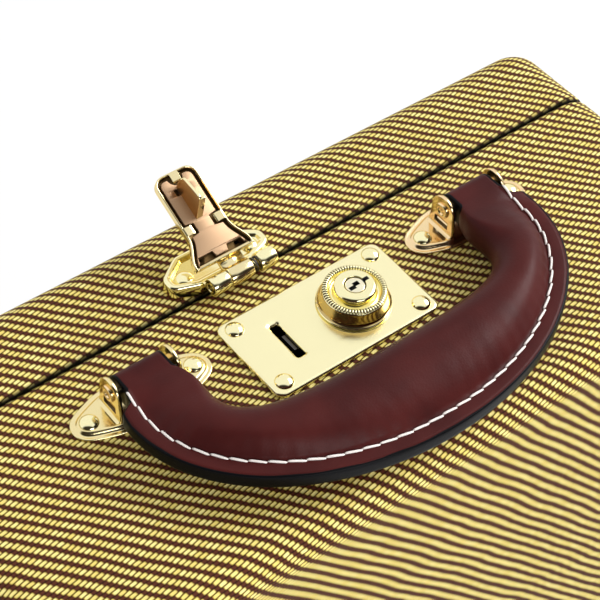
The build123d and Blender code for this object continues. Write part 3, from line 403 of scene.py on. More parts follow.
class Build:
    """Collects points in millimetres and faces, and makes one piece of them."""

    def __init__(self):
        self.points = []
        self.faces = []

    def loop(self, points):
        start = len(self.points)
        self.points += [tuple(p) for p in points]
        return list(range(start, start + len(points)))

    def bridge(self, a, b, closed=True):
        count = len(a)
        for i in range(count if closed else count - 1):
            k = (i + 1) % count
            self.faces.append((a[i], a[k], b[k], b[i]))

    def stack(self, rings, closed=True):
        loops = [self.loop(r) for r in rings]
        for a, b in zip(loops, loops[1:]):
            self.bridge(a, b, closed)
        return loops

    def fill(self, *loops):
        """Flat face over the first loop, with the others as holes in it."""
        flat = [i for loop in loops for i in loop]
        for tri in tessellate_polygon([[Vector(self.points[i]) for i in loop] for loop in loops]):
            self.faces.append(tuple(flat[i] for i in tri))

    def revolve(self, profile, place, segments=48):
        """place(x, y, z) puts a point of the turned shape, with its axis along z."""
        around = turns(2 * math.pi, segments)[:-1]
        return self.stack([[place(r * math.cos(a), r * math.sin(a), z) for a in around] for r, z in profile])

    def tube(self, path, radius, sides=8):
        """A round thread along a path of points, closed at both ends."""
        rings = []
        for i, point in enumerate(path):
            ahead = Vector(path[min(i + 1, len(path) - 1)]) - Vector(path[max(i - 1, 0)])
            side = ahead.cross(Vector((0, 0, 1))).normalized()
            over = side.cross(ahead).normalized()
            rings.append([Vector(point) + side * radius * math.cos(a) + over * radius * math.sin(a)
                          for a in turns(2 * math.pi, sides)[:-1]])
        loops = self.stack(rings)
        self.cap(loops[0], loops[-1])

    def cap(self, *loops):
        """One flat face over each loop."""
        self.faces += [tuple(loop) for loop in loops]

    def prism(self, first, second):
        """A straight piece between two outlines, closed at both."""
        self.bridge(self.loop(first), self.loop(second))
        self.fill(self.loop(first))
        self.fill(self.loop(second))

    def pressed(self, outline, profile, place):
        """A ring for each (inset, z) of the profile: the outline, drawn in by the inset."""
        return self.stack([[place(x, y, z) for x, y in drawn_in(outline, inset)] for inset, z in profile])

    def make(self, name, material, body, slot, replaces=(), soft=0.0):
        """The piece, with its doubled points joined and, if soft is given, its edges rounded."""
        piece = make(name, self.points, self.faces, material, body, replaces)
        clean = bmesh.new()
        clean.from_mesh(piece.data)
        bmesh.ops.remove_doubles(clean, verts=clean.verts, dist=0.002 * MM)
        bmesh.ops.dissolve_degenerate(clean, edges=clean.edges, dist=0.001 * MM)
        bmesh.ops.recalc_face_normals(clean, faces=clean.faces)
        clean.to_mesh(piece.data)
        clean.free()
        if soft:
            bevel = piece.modifiers.new("soft_edges", "BEVEL")
            bevel.width = soft * MM
            bevel.segments = 3
            bevel.limit_method = "ANGLE"
            bevel.angle_limit = math.radians(38)
            piece.modifiers.new("even_normals", "WEIGHTED_NORMAL")
            settle(piece)
        return piece


def shade(piece, material, wanted):
    """A second material, on the faces that wanted() picks."""
    piece.data.materials.append(material)
    for face in piece.data.polygons:
        if wanted(face):
            face.material_index = 1


def settle(piece):
    """Make what the modifiers give the piece's own mesh."""
    graph = bpy.context.evaluated_depsgraph_get()
    mesh = bpy.data.meshes.new_from_object(piece.evaluated_get(graph))
    piece.modifiers.clear()
    piece.data = mesh


def round_poly(corners, steps=6):
    """A closed outline from (x, y, radius) corners, each turned into an arc."""
    out = []
    for i, (x, y, r) in enumerate(corners):
        corner = Vector((x, y))
        a = (Vector(corners[i - 1][:2]) - corner).normalized()
        b = (Vector(corners[(i + 1) % len(corners)][:2]) - corner).normalized()
        half = a.angle(b) / 2
        centre = corner + (a + b).normalized() * (r / math.sin(half))
        first = corner + a * (r / math.tan(half)) - centre
        turn = math.copysign(math.pi - 2 * half, a.y * b.x - a.x * b.y)
        for k in range(steps + 1):
            out.append(tuple(centre + Matrix.Rotation(turn * k / steps, 2) @ first))
    return out


def densify(outline, step=1.5):
    """More points along the long straight stretches of a closed outline."""
    out = []
    for i, (x, y) in enumerate(outline):
        nx, ny = outline[(i + 1) % len(outline)]
        parts = max(1, int(math.dist((x, y), (nx, ny)) / step))
        out += [(between(x, nx, k / parts), between(y, ny, k / parts)) for k in range(parts)]
    return out


def drawn_in(outline, inset):
    """A closed outline, counterclockwise, moved inwards along its own normals."""
    out = []
    for i, (x, y) in enumerate(outline):
        px, py = outline[i - 1]
        nx, ny = outline[(i + 1) % len(outline)]
        a = Vector((x - px, y - py)).normalized()
        b = Vector((nx - x, ny - y)).normalized()
        normal = Vector((-a.y - b.y, a.x + b.x)).normalized()
        reach = inset / max(0.5, normal.dot(Vector((-a.y, a.x))))
        out.append((x + normal.x * reach, y + normal.y * reach))
    return out


def rectangle(half_x, half_y, radius, steps=8):
    signs = ((-1, -1), (1, -1), (1, 1), (-1, 1))
    return round_poly([(x * half_x, y * half_y, radius) for x, y in signs], steps)


def arc_steps(radius, count=7):
    """(inset, drop) pairs of a quarter round, from the side up to the top."""
    return [(radius - radius * math.cos(a), radius - radius * math.sin(a)) for a in turns(math.pi / 2, count)]


# Camera

CAMERA_LENS, SENSOR_WIDTH = 109.84, 36.0
CAMERA_PLACE = Vector((-0.22468, -0.25690, 0.59853))
CAMERA_RIGHT = Vector((0.79178, -0.60970, 0.03668))
CAMERA_UP = Vector((0.43731, 0.60778, 0.66284))
CAMERA_BACK = Vector((-0.42643, -0.50879, 0.74786))
camera_data = bpy.data.cameras.new("camera")
camera_data.lens = CAMERA_LENS
camera_data.sensor_width = SENSOR_WIDTH
camera_data.clip_start = 0.02
camera_data.clip_end = 30.0
camera = add_object("camera", camera_data)
turned = Matrix((CAMERA_RIGHT, CAMERA_UP, CAMERA_BACK)).transposed().to_4x4()
camera.matrix_world = Matrix.Translation(CAMERA_PLACE) @ turned
bpy.context.scene.camera = camera
bpy.context.scene.view_settings.view_transform = "Standard"


# Cloth on the outside

def outline_ring(inset):
    """The case's outline drawn in by inset, as points (x, z, side, t, split, other side, its t)."""
    w, h = LENGTH / 2 - inset, HEIGHT / 2 - inset
    r = max(CORNER_R - inset, 0.8)
    points = []
    xs = [-w + r, w - r, -LOCK_HOLE_HALF, LOCK_HOLE_HALF] + [i * ROW_SPACING for i in range(-19, 20)]
    xs = sorted(set(xs))
    zs = [r - h + up for up in turns(2 * h - 2 * r, SIDE_ROWS)]

    def corner(cx, cz, start, first, second):
        t_first, t_second = (cx, cz) if first in ("top", "low") else (cz, cx)
        out_first, out_second = math.copysign(1, t_first), math.copysign(1, t_second)
        half = r * math.pi / 4
        for i in range(1, CORNER_ROWS):
            a = start - math.pi / 2 * i / CORNER_ROWS
            x, z = cx + r * math.cos(a), cz + r * math.sin(a)
            arc = 2 * half * i / CORNER_ROWS
            if i <= CORNER_ROWS // 2:
                other_t = t_second + out_second * half
                at_split = i == CORNER_ROWS // 2
                points.append((x, z, first, t_first + out_first * arc, at_split, second, other_t))
            else:
                points.append((x, z, second, t_second + out_second * (2 * half - arc), False, None, 0))

    def straight(places, side, at, along_x):
        for t in places:
            t = min(max(t, -w + r), w - r) if along_x else t
            x, z = (t, at) if along_x else (at, t)
            points.append((x, z, side, t, False, None, 0))

    straight(xs, "top", h, True)
    corner(w - r, h - r, math.pi / 2, "top", "right")
    straight(zs[::-1], "right", w, False)
    corner(w - r, -h + r, 0, "right", "low")
    straight(xs[::-1], "low", -h, True)
    corner(-w + r, -h + r, -math.pi / 2, "low", "left")
    straight(zs, "left", -w, False)
    corner(-w + r, h - r, math.pi, "left", "top")
    return points


def seam_light(inset, depth):
    """How much of the tweed's own colour shows by the seam: 0 in the narrow gap between the halves, where
    painted shade takes its place, 1 where the cloth is open to the light.
    """
    if inset > ROLL_R + 0.3:
        return 1.0
    return min(1.0, max(0.0, (depth - RIM) / 1.7))


def cloth_half(name, body, sign, depth, nodes):
    """The tweed of one half: over the rim, across the sides and over the big face."""
    profile = [(SKIN, RIM + 0.9), (SKIN, RIM), (5.0, RIM), (ROLL_R + 0.6, RIM)]
    profile += [(ROLL_R - ROLL_R * math.sin(a), RIM + ROLL_R - ROLL_R * math.cos(a))
                for a in turns(math.pi / 2, 8)]
    roll_end = len(profile) - 1
    stops = [6.0, 12.0, LOCK_HOLE_NEAR, 28.0, LOCK_HOLE_FAR, 45.0, 55.0, 65.0]
    profile += [(0.0, d) for d in stops if d < depth - EDGE_R - 1]
    profile += [(EDGE_R - EDGE_R * math.cos(a), depth - EDGE_R + EDGE_R * math.sin(a))
                for a in turns(math.pi / 2, 12)]
    arc = run_lengths(profile)
    offset = arc[roll_end] - (RIM + ROLL_R)
    arc = [a - offset for a in arc]
    total = arc[-1]
    flat_w, flat_h = LENGTH - 2 * EDGE_R, HEIGHT - 2 * EDGE_R

    def flat(side, t, s):
        if side == "top":
            return t, -s
        if side == "low":
            return t, -(2 * total + flat_h) + s
        turn = 1 if side == "right" else -1
        return turn * (flat_w / 2 + total - s), -(total + flat_h / 2 - t)

    rings = [outline_ring(inset) for inset, _ in profile]
    count = len(rings[0])
    points, faces, uvs, seam_light_values = [], [], [], []
    for (inset, d), ring in zip(profile, rings):
        points += [(p[0], SEAM_Y + sign * d, MID_Z + p[1]) for p in ring]
    for j in range(len(profile) - 1):
        for i in range(count):
            k = (i + 1) % count
            at_lock = max(abs(rings[j][i][0]), abs(rings[j][k][0])) <= LOCK_HOLE_HALF + 0.1
            at_lock = at_lock and LOCK_HOLE_NEAR <= profile[j][1] and profile[j + 1][1] <= LOCK_HOLE_FAR
            side = rings[j][k][2] if not rings[j][i][4] else rings[j][i][5]
            if sign < 0 and side == "top" and at_lock:
                continue
            corners = []
            for jj, ii in ((j, i), (j, k), (j + 1, k), (j + 1, i)):
                _, _, own, t, _, _, t_other = rings[jj][ii]
                corners.append(flat(side, t if own == side else t_other, arc[jj]))
            order = [j * count + i, j * count + k, (j + 1) * count + k, (j + 1) * count + i]
            faces.append(order if sign < 0 else order[::-1])
            uvs += corners if sign < 0 else corners[::-1]
            near = [seam_light(*profile[jj]) for jj in (j, j, j + 1, j + 1)]
            seam_light_values += near if sign < 0 else near[::-1]
    last = (len(profile) - 1) * count
    cap = [last + i for i in range(count)]
    cap_uv = [(p[0], -(total + flat_h / 2 - p[1])) for p in rings[-1]]
    faces.append(cap if sign < 0 else cap[::-1])
    uvs += cap_uv if sign < 0 else cap_uv[::-1]
    uvs = [(a, b if sign < 0 else -b) for a, b in uvs]
    seam_light_values += [1.0] * count
    piece = make(name, points, faces, TWEED, body, nodes, uvs)
    # The seam layer holds, for each corner, how much painted seam shade the tweed gets.
    seam = piece.data.uv_layers.new(name="seam")
    seam.data.foreach_set("uv", np.array([(d, 0.0) for d in seam_light_values], np.float32).ravel())


# Rivets

RIVET_PROFILE = ((2.78, -0.35), (2.78, 0.0), (2.72, 0.18), (2.58, 0.38), (2.36, 0.6), (2.08, 0.8),
                 (1.74, 0.98), (1.36, 1.12), (0.96, 1.23), (0.5, 1.3), (0.0, 1.33))


def rivets(name, places, z, body, node):
    b = Build()
    for x, y in places:
        b.revolve(RIVET_PROFILE, lambda px, py, pz: on_face(x + px, y + py, z + pz), 40)
    b.make(name, GOLD, body, "gold", [node])


# Lock plate and knob

def lock_plate():
    """The plate with its rolled edge and the hook slot's pressed lips."""
    b = Build()
    outline = densify(rectangle(PLATE_L / 2, PLATE_W / 2, PLATE_CORNER_R), 3.0)
    edge = [(0.35, 0.0), (0.08, 0.12), (0.0, 0.35)]
    edge += [(inset, PLATE_T - drop) for inset, drop in arc_steps(PLATE_EDGE_R)]
    edge += [(1.35, PLATE_T), (1.8, PLATE_T)]
    outer = b.pressed(outline, edge, lambda x, y, z: on_face(x, PLATE_Y + y, z))
    mouth = densify(rectangle(SLOT_HALF_W, SLOT_HALF_L, 0.6, 6), 0.8)
    lips = ((0.0, 1.5), (0.0, 1.15), (0.06, 0.92), (0.2, 0.7), (0.42, 0.48), (0.72, 0.29), (1.1, 0.13),
            (1.5, 0.04), (2.0, 0.0))
    lips = [(-grow, PLATE_T - drop) for grow, drop in lips]
    hole = b.pressed(mouth, lips, lambda x, y, z: on_face(SLOT_X + x, SLOT_Y + y, z))
    b.fill(outer[-1], hole[-1])
    b.make("lock_plate_pressed", PLATE_GOLD, "base", "gold", ["lock_plate"])


def knob_place(x, y, z):
    return on_face(KNOB_X + x, PLATE_Y + y, PLATE_T + z)


def knob():
    """The flared knob with its groove and disc, the milled ring round its top, and the index notch."""
    flank = ((4.0, 0.3), (10.5, 0.3), (10.9, 0.36), (11.0, 0.6), (10.95, 0.85), (10.75, 1.0), (10.5, 1.12),
             (10.25, 1.35), (10.05, 1.9), (9.8, 2.8), (9.6, 3.7), (9.45, 4.6), (9.35, 5.05), (9.05, 5.22),
             (8.8, 5.24))
    disc = ((7.6, 5.35), (7.5, 4.9), (7.3, 4.3), (7.0, 4.1), (6.65, 4.1), (6.4, 4.25), (6.28, 4.6),
            (6.22, 5.3), (6.2, 6.6), (6.14, 6.95), (5.9, 7.25), (5.65, 7.47), (5.3, 7.57), (4.9, 7.6),
            (3.6, 7.6), (3.35, 7.56), (3.2, 7.46), (3.15, 7.3), (3.15, 5.0))
    flank_low, flank_top, flank_r = 1.0, 5.1, 9.2
    b = Build()
    b.revolve(flank, knob_place, 96)
    b.revolve(disc, knob_place, 72)
    turned_knob = b.make("knob_turned", GOLD, "knob", "gold", ["knob_body"])
    middle = Vector(knob_place(0, 0, 0))

    def on_flank(face):
        spoke = face.center / MM - middle
        return flank_low < spoke.z < flank_top and math.hypot(spoke.x, spoke.y) > flank_r

    # The flank gets the darker gold as a painted dark reflection.
    shade(turned_knob, FLANK_DARK_REFLECTION, on_flank)

    per_tooth, tooth_cut = 8, 0.62
    profile = ((8.8, 5.22, 0.0), (9.1, 5.24, 0.2), (9.28, 5.34, 0.8), (9.32, 5.48, 1.0), (9.24, 5.66, 1.0),
               (9.0, 5.84, 1.0), (8.65, 5.95, 1.0), (8.25, 5.97, 1.0), (7.95, 5.87, 0.8), (7.8, 5.72, 0.25),
               (7.7, 5.55, 0.0), (7.6, 5.35, 0.0))
    rings = []
    for r, z, share in profile:
        ring = []
        for a in turns(2 * math.pi, KNOB_TEETH * per_tooth)[:-1]:
            cut = tooth_cut * share * max(0.0, math.cos(a * KNOB_TEETH)) ** 0.8
            ring.append(knob_place((r - cut * 0.6) * math.cos(a), (r - cut * 0.6) * math.sin(a), z - cut))
        rings.append(ring)
    b = Build()
    b.stack(rings)
    ring = b.make("knob_milled_ring", GOLD, "knob", "gold", ["knob_ring"])

    def in_groove(face):
        spoke = face.center / MM - middle
        tooth = math.atan2(spoke.y, spoke.x) / (2 * math.pi) * KNOB_TEETH
        return abs(tooth - round(tooth)) < 1.7 / per_tooth

    shade(ring, GROOVE, in_groove)

    # The index notch is a thin dark slab at the disc's top: painted shade.
    notch = [(3.0, -0.62), (4.7, -0.62), (4.7, 0.62), (3.0, 0.62)]
    b = Build()
    walls = b.stack([[knob_place(x, y, z) for x, y in notch] for z in (7.2, 7.615)])
    b.cap(walls[0], walls[1])
    b.make("knob_index_notch", PIT_SHADE, "knob", "gold")


def key_plug():
    """The plug, a little under the disc, with its stepped keyway and the gap round the plug painted dark as
    shade.
    """
    top, floor, plug_r, bore_r = 7.32, 6.5, 2.85, 3.2
    rim, bore = [[(r * math.cos(a), r * math.sin(a)) for a in turns(2 * math.pi, 48)[:-1]]
                 for r in (plug_r, bore_r)]
    key = [(-2.3, -1.15), (-0.2, -1.15), (-0.2, -0.45), (1.5, -0.45), (1.5, 1.0), (-0.45, 1.0), (-0.45, 0.2),
           (-2.3, 0.2)]
    key = densify(key, 0.5)

    def level(shape, z):
        return [knob_place(x, y, z) for x, y in shape]

    b = Build()
    outside = b.pressed(rim, ((0.0, 5.2), (0.0, top - 0.15), (0.05, top - 0.04), (0.18, top)), knob_place)
    b.fill(outside[-1], b.loop(level(key, top)))
    b.make("key_plug_turned", PLUG, "key", "gold", ["key_plug"])
    # The keyway's walls and floor, and a ring over the gap round the plug, are painted dark as shade.
    b = Build()
    walls = b.stack([level(key, top - 0.01), level(key, floor)])
    b.cap(walls[-1])
    b.stack([level(drawn_in(rim, 0.05), top - 0.4), level(bore, top - 0.4)])
    b.make("keyway_painted_shade", PIT_SHADE, "key", "gold")


# Latch

def barrel(b, span, place):
    """A knuckle along x with softened ends; place(x, y, z) has the axis at y = z = 0."""
    x0, x1 = span
    soft = 0.25
    end = ((LATCH_PIN_R, 0.6), (LATCH_PIN_R, 0.06), (BARREL_R - soft, 0.0), (BARREL_R - 0.07, 0.07),
           (BARREL_R, soft))
    profile = [(r, x0 + inset) for r, inset in end] + [(r, x1 - inset) for r, inset in end[::-1]]
    b.revolve(profile, lambda px, py, pz: place(pz, px, py), 40)


def web(b, span, spread, top, under, place):
    """Sheet from a knuckle to what carries it: top and under run from the barrel outwards."""
    x0, x1 = span[0] + 0.15, span[1] - 0.15
    closed = top + under[::-1]
    reach = max(abs(y) for y, _ in closed)

    def edge(x, side):
        return [place(x + side * spread * smooth_step(abs(y) / reach), y, z) for y, z in closed]

    b.prism(edge(x0, -1), edge(x1, 1))


def latch_bracket():
    """A dished pan with a raised lip, and the two outer knuckles of the barrel."""
    b = Build()
    corners = [(-9.4, 0.2, 3.4), (9.4, 0.2, 3.4), (17.6, 3.2, 3.4), (17.6, 8.6, 3.4), (9.8, 14.0, 4.0),
               (-9.8, 14.0, 4.0), (-17.6, 8.6, 3.4), (-17.6, 3.2, 3.4)]
    outline = densify(round_poly(corners, 8), 1.2)
    rims = ((0.25, 0.0), (0.0, 0.05), (0.0, 0.5), (0.08, 2.4), (0.18, 3.3), (0.36, 3.85), (0.65, 4.2),
            (1.05, 4.38), (1.5, 4.38), (1.95, 4.24), (2.35, 3.98), (2.7, 3.66), (2.95, 3.44), (3.2, 3.36))
    b.fill(b.pressed(outline, rims, lambda x, y, z: on_face(LATCH_X + x, y, z))[-1])

    def place(x, y, z):
        return on_face(x, AXIS_Y + y, AXIS_Z + z)

    top = [(0.3, 2.37), (1.3, 2.05), (2.2, 1.1), (2.9, -0.2), (3.7, -1.0), (5.4, -1.35)]
    under = [(0.3, -2.37), (1.4, -2.7), (2.6, -3.3), (3.3, -4.4), (3.4, -5.4), (5.4, -5.4)]
    for span, spread in ((LEFT_KNUCKLE, 0.3), (RIGHT_KNUCKLE, 1.3)):
        barrel(b, span, place)
        web(b, span, spread, top, under, place)
    b.make("latch_bracket_pressed", GOLD, "lid", "gold", ["latch_bracket"])


def hasp_place(a, s, z):
    """A point of the hasp in its open pose: a across, s from the hinge axis, z as when closed."""
    c, n = math.cos(HASP_OPEN), math.sin(HASP_OPEN)
    return on_face(LATCH_X + a, AXIS_Y - s * c + z * n, AXIS_Z + s * n + z * c)


def hasp_outline():
    """Counterclockwise in (a, s), from the root to the tip, with an S flare at the root."""
    flare = HASP_ROOT_HALF - HASP_HALF
    right = [(HASP_ROOT_HALF, HASP_ROOT), (HASP_ROOT_HALF, HASP_ROOT + 1.1)]
    start = HASP_ROOT + 1.1
    right += [(HASP_ROOT_HALF - flare * smooth_step(t), between(start, HASP_NECK, t))
              for t in turns(1.0, 16)[1:]]
    corner = HASP_HALF - HASP_TIP_R
    right += [(corner + HASP_TIP_R * math.cos(a), HASP_L - HASP_TIP_R + HASP_TIP_R * math.sin(a))
              for a in turns(math.pi / 2, 8)]
    left = [(-a, s) for a, s in right[::-1]]
    return densify(right + left, 1.3)


def hasp_cover():
    """The lipped cover with its three folded tabs, its inside painted dark as shade, and its knuckle."""
    outline = hasp_outline()
    b = Build()
    shell = ((2.0, 1.2), (1.1, 1.2), (0.75, 1.16), (0.4, 1.0), (0.15, 0.75), (0.02, 0.4), (0.0, 0.0),
             (0.0, -1.4), (0.04, -1.6), (0.15, -1.74), (0.32, -1.8), (0.5, -1.74), (0.62, -1.6), (0.66, -1.4))
    b.fill(b.pressed(outline, shell, hasp_place)[0])
    span = [x - LATCH_X for x in HASP_KNUCKLE]
    barrel(b, span, hasp_place)
    top = [(0.0, 2.4), (1.2, 2.1), (2.3, 1.6), (3.6, 1.25), (6.4, 1.2)]
    under = [(0.0, -2.4), (1.3, -2.05), (2.2, -1.2), (3.0, -0.7), (4.2, -0.5), (6.4, -0.45)]
    web(b, span, 0.0, top, under, hasp_place)
    lip = [(5.4, -0.2), (5.4, -1.2), (5.7, -1.6), (6.3, -1.7), (6.6, -1.3), (6.6, -0.2)]
    lip_half = 8.6
    ends = [b.loop([hasp_place(side * lip_half, s, z) for s, z in lip]) for side in (-1, 1)]
    b.bridge(ends[0], ends[1])
    b.make("hasp_cover_pressed", HASP_GOLD, "hasp", "gold", ["hasp_cover"])

    # The channel's inner wall and floor are painted dark as shade.
    b = Build()
    b.fill(b.pressed(outline, ((0.66, -1.4), (0.7, 0.1), (0.95, 0.3), (3.2, 0.3)), hasp_place)[-1])
    b.make("hasp_cover_inside", INSIDE_SHADE, "hasp", "gold")

    b = Build()
    tab_t, end_tab_w, side_tab_w = 0.5, 2.9, 2.7
    fold = [(0.1, -1.2), (0.1, -1.62), (0.35, -1.86), (0.8, -1.93), (2.3, -1.9), (3.05, -1.72), (3.3, -1.4),
            (3.35, -1.25)]
    below = [(between(d, 1.9, 0.3), z + tab_t) for d, z in fold]
    closed = fold + below[::-1]

    def tab(width, place):
        b.prism(*[[place(d, side * width / 2, z) for d, z in closed] for side in (-1, 1)])

    tab(end_tab_w, lambda d, off, z: hasp_place(off, HASP_L - d, z))
    for side in (-1, 1):
        tab(side_tab_w, lambda d, off, z: hasp_place(side * (HASP_HALF - d), TAB_S + off, z))
    b.make("hasp_tabs_folded", HASP_GOLD, "hasp", "gold", soft=0.14)


def hasp_backing():
    """The flat backing with its notches and small opening, and the fin that enters the plate's slot."""
    inside_lip = 1.65
    notch_r, notch_s, cut_half, cut_to = 2.4, HASP_L - 1.8, 1.75, 2.7
    root_a, root_half, root_s = 5.0, 2.6, 8.9
    shape = []
    for a, s in densify(drawn_in(hasp_outline(), inside_lip), 0.4):
        if s > HASP_L - 3.5 and abs(a) < notch_r:
            s = min(s, notch_s - math.sqrt(notch_r ** 2 - a * a))
        if abs(s - TAB_S) < cut_half:
            a = math.copysign(cut_to, a)
        if abs(abs(a) - root_a) < root_half:
            s = max(s, root_s)
        shape.append((a, s))
    low, high = -1.2, -0.4
    mouth_a, mouth_s = FIN_A - 1.05, 28.7
    mouth = [(mouth_a + a, mouth_s + s) for a, s in densify(rectangle(0.65, 1.15, 0.3, 4), 0.5)]
    b = Build()
    profile = ((0.0, high), (0.0, low + 0.12), (0.05, low + 0.03), (0.13, low))
    loops = b.pressed(shape, profile, hasp_place)
    walls = b.pressed(mouth, ((0.0, high), (0.0, low)), hasp_place)
    b.fill(loops[-1], walls[1])
    b.fill(loops[0], walls[0])
    b.make("hasp_backing_pressed", ROSE, "hasp", "rose_gold", ["hasp_backing"])

    crest = [(30.4, -1.0), (30.45, -4.8), (30.3, -6.0), (29.9, -6.8), (29.1, -7.3), (27.0, -8.05),
             (24.6, -8.75), (23.0, -9.15), (22.3, -9.2), (21.8, -8.95), (21.5, -8.3)]
    side = [(19.1, low + 0.3), (30.4, low + 0.3)] + [(s, low + z) for s, z in crest]
    half = 0.45
    b = Build()
    b.prism(*[[hasp_place(a, s, z) for s, z in side] for a in (FIN_A - half, FIN_A + half)])
    root_end = [(19.15, low + 0.2), (19.85, low + 0.2), (22.25, low - 8.4), (21.55, low - 8.4)]
    tip_end = [(29.75, low - 2.6), (30.4, low - 2.6), (30.4, low - 6.0), (29.75, low - 6.6)]
    for turned_end, reach in ((root_end, 1.8), (tip_end, -0.75)):
        b.prism(*[[hasp_place(a, s, z) for s, z in turned_end] for a in (FIN_A, FIN_A + reach)])
    fin = b.make("hasp_fin_polished", FIN_SIDE_REFLECTION, "hasp", "rose_gold", soft=0.16)
    # The fin's sides keep the dull orange as a painted reflection of the rose backing; its edges and turned
    # ends get the bright gold.
    shade(fin, GOLD, lambda face: abs(face.normal.x) < 0.6)


# Handle mounts

def mount_outline():
    """Counterclockwise round two lobes and the wide middle."""
    tilt = 0.8 * math.atan2(WAIST_HALF - LOBE_R, LOBE_X - EAR_OUT)
    outline = []
    for side in (1, -1):
        for a in turns(math.pi - 2 * tilt, 16):
            a += tilt - math.pi / 2
            outline.append((side * (LOBE_X + LOBE_R * math.cos(a)), side * LOBE_R * math.sin(a)))
        outline.append((side * EAR_OUT, side * WAIST_HALF))
        outline.append((-side * EAR_OUT, side * WAIST_HALF))
    outline = densify(outline, 1.0)
    for _ in range(6):
        count = len(outline)
        outline = [tuple((outline[i - 1][c] + 2 * outline[i][c] + outline[(i + 1) % count][c]) / 4
                         for c in (0, 1)) for i in range(count)]
    return outline


def ear_half(z):
    """Half the ear's width at a height: round at its top, spread below, drawn in where it joins the plate."""
    up = z - PIN_Z
    if up > 0:
        return EAR_HALF * math.sqrt(max(0.0, 1 - (up / EAR_HALF) ** 2))
    spread = EAR_HALF + 0.8 * (up / (PIN_Z - MOUNT_TOP)) ** 2
    return between(EAR_FOOT_HALF, spread, min(1.0, max(0.0, z - MOUNT_TOP) / 1.6) ** 0.5)


def ear(b, cx, side):
    """One ear, bent up out of the plate, with its small window."""
    bend = EAR_BEND
    path = [(EAR_OUT + bend + 0.15, MOUNT_TOP - 0.3), (EAR_OUT + bend + 0.08, MOUNT_TOP - 0.1)]
    path += [(EAR_OUT + bend - bend * math.sin(a), MOUNT_TOP + bend - bend * math.cos(a))
             for a in turns(math.pi / 2, 6)]
    heights = [WINDOW_LOW, 3.9, 4.7, WINDOW_TOP, 6.4, 7.4, 8.3, PIN_Z]
    heights += [PIN_Z + EAR_HALF * math.sin(a) for a in turns(math.pi / 2, 9)[1:]]
    path += [(EAR_OUT, z) for z in heights]
    shares = (-1.0, -0.97, -0.86, -0.62)
    fronts, backs = [], []
    for i, (x, z) in enumerate(path):
        ahead, behind = path[min(i + 1, len(path) - 1)], path[max(i - 1, 0)]
        along = Vector((ahead[0] - behind[0], ahead[1] - behind[1])).normalized()
        nx, nz = along.y, -along.x
        half = ear_half(z)
        window = min(WINDOW_HALF, 0.6 * half)
        lanes = [s * half for s in shares] + [-window, 0.0, window] + [-s * half for s in shares[::-1]]
        fronts.append(b.loop([on_face(cx + side * x, MOUNT_Y + y, z) for y in lanes]))
        inner = [(x - abs(nx) * EAR_T, z + (-EAR_T if nz < -0.5 else -abs(nz) * EAR_T))] * len(lanes)
        backs.append(b.loop([on_face(cx + side * p, MOUNT_Y + y, q) for (p, q), y in zip(inner, lanes)]))
    first, last = path.index((EAR_OUT, WINDOW_LOW)), path.index((EAR_OUT, WINDOW_TOP))
    left, right = 4, 6
    for rows in (fronts, backs):
        for i, (p, q) in enumerate(zip(rows, rows[1:])):
            for lane in range(len(p) - 1):
                if not (first <= i < last and left <= lane < right):
                    b.faces.append((p[lane], p[lane + 1], q[lane + 1], q[lane]))

    def wall(rows, lane):
        front, back = [[side[i][lane] for i in rows] for side in (fronts, backs)]
        b.bridge(front, back, closed=False)

    for lane in (0, -1):
        wall(range(len(path)), lane)
    for lane in (left, right):
        wall(range(first, last + 1), lane)
    for i in (first, last):
        b.bridge(fronts[i][left:right + 1], backs[i][left:right + 1], closed=False)


def handle_mount(side, name, node, material):
    """The pressed plate: a thin flange, a step up to the flat middle, and two ears."""
    b = Build()
    cx = side * MOUNT_X
    outline = mount_outline()
    rims = ((0.15, 0.0), (0.0, 0.12), (0.0, 0.4), (0.1, 0.56), (0.3, 0.64), (0.55, 0.62), (0.95, 0.5),
            (1.2, 0.5), (1.45, 0.62), (1.75, 0.95), (2.0, 1.25), (2.25, 1.45), (2.55, 1.54), (2.9, MOUNT_TOP))
    b.fill(b.pressed(outline, rims, lambda x, y, z: on_face(cx + x, MOUNT_Y + y, z))[-1])
    ear(b, cx, -1)
    ear(b, cx, 1)
    plate = b.make(name, material, "base", "rose_gold", [node])

    # The window's walls are painted dark as shade.
    def in_window(face):
        x, y, z = face.center / MM - Vector(on_face(cx, MOUNT_Y, 0))
        wall = EAR_OUT - EAR_T < abs(x) < EAR_OUT and abs(face.normal.x) < 0.5
        return wall and abs(y) < WINDOW_HALF + 0.1 and WINDOW_LOW - 0.2 < z < WINDOW_TOP + 0.2

    shade(plate, INSIDE_SHADE, in_window)


def handle_pins():
    """The two pins, with their peened ends outside the ears."""
    b = Build()
    peened = ((2.1, -0.4), (2.55, 0.0), (2.6, 0.25), (2.45, 0.55), (2.1, 0.75), (1.65, 0.8), (1.3, 0.66),
              (1.1, 0.36), (0.9, 0.26), (0.4, 0.3), (0.0, 0.32))
    rod = ((1.9, -EAR_OUT), (1.9, EAR_OUT))
    for side in (-1, 1):

        def along(x, px, py):
            return on_face(side * MOUNT_X + x, MOUNT_Y + px, PIN_Z + py)

        for end in (-1, 1):
            b.revolve(peened, lambda px, py, pz: along(end * (EAR_OUT + pz), px, py), 32)
        b.revolve(rod, lambda px, py, pz: along(pz, px, py), 24)
    b.make("handle_pins_peened", PALE_GOLD, "base", "rose_gold", ["handle_pins"])


# Handle

def flange_share(share):
    """How much of the flange there is: a little from the loop on, and the rest from a corner lower down."""
    return 0.3 * math.sqrt(1 - share) + 0.7 * (1 - smooth_step((share - 0.4) / 0.25))


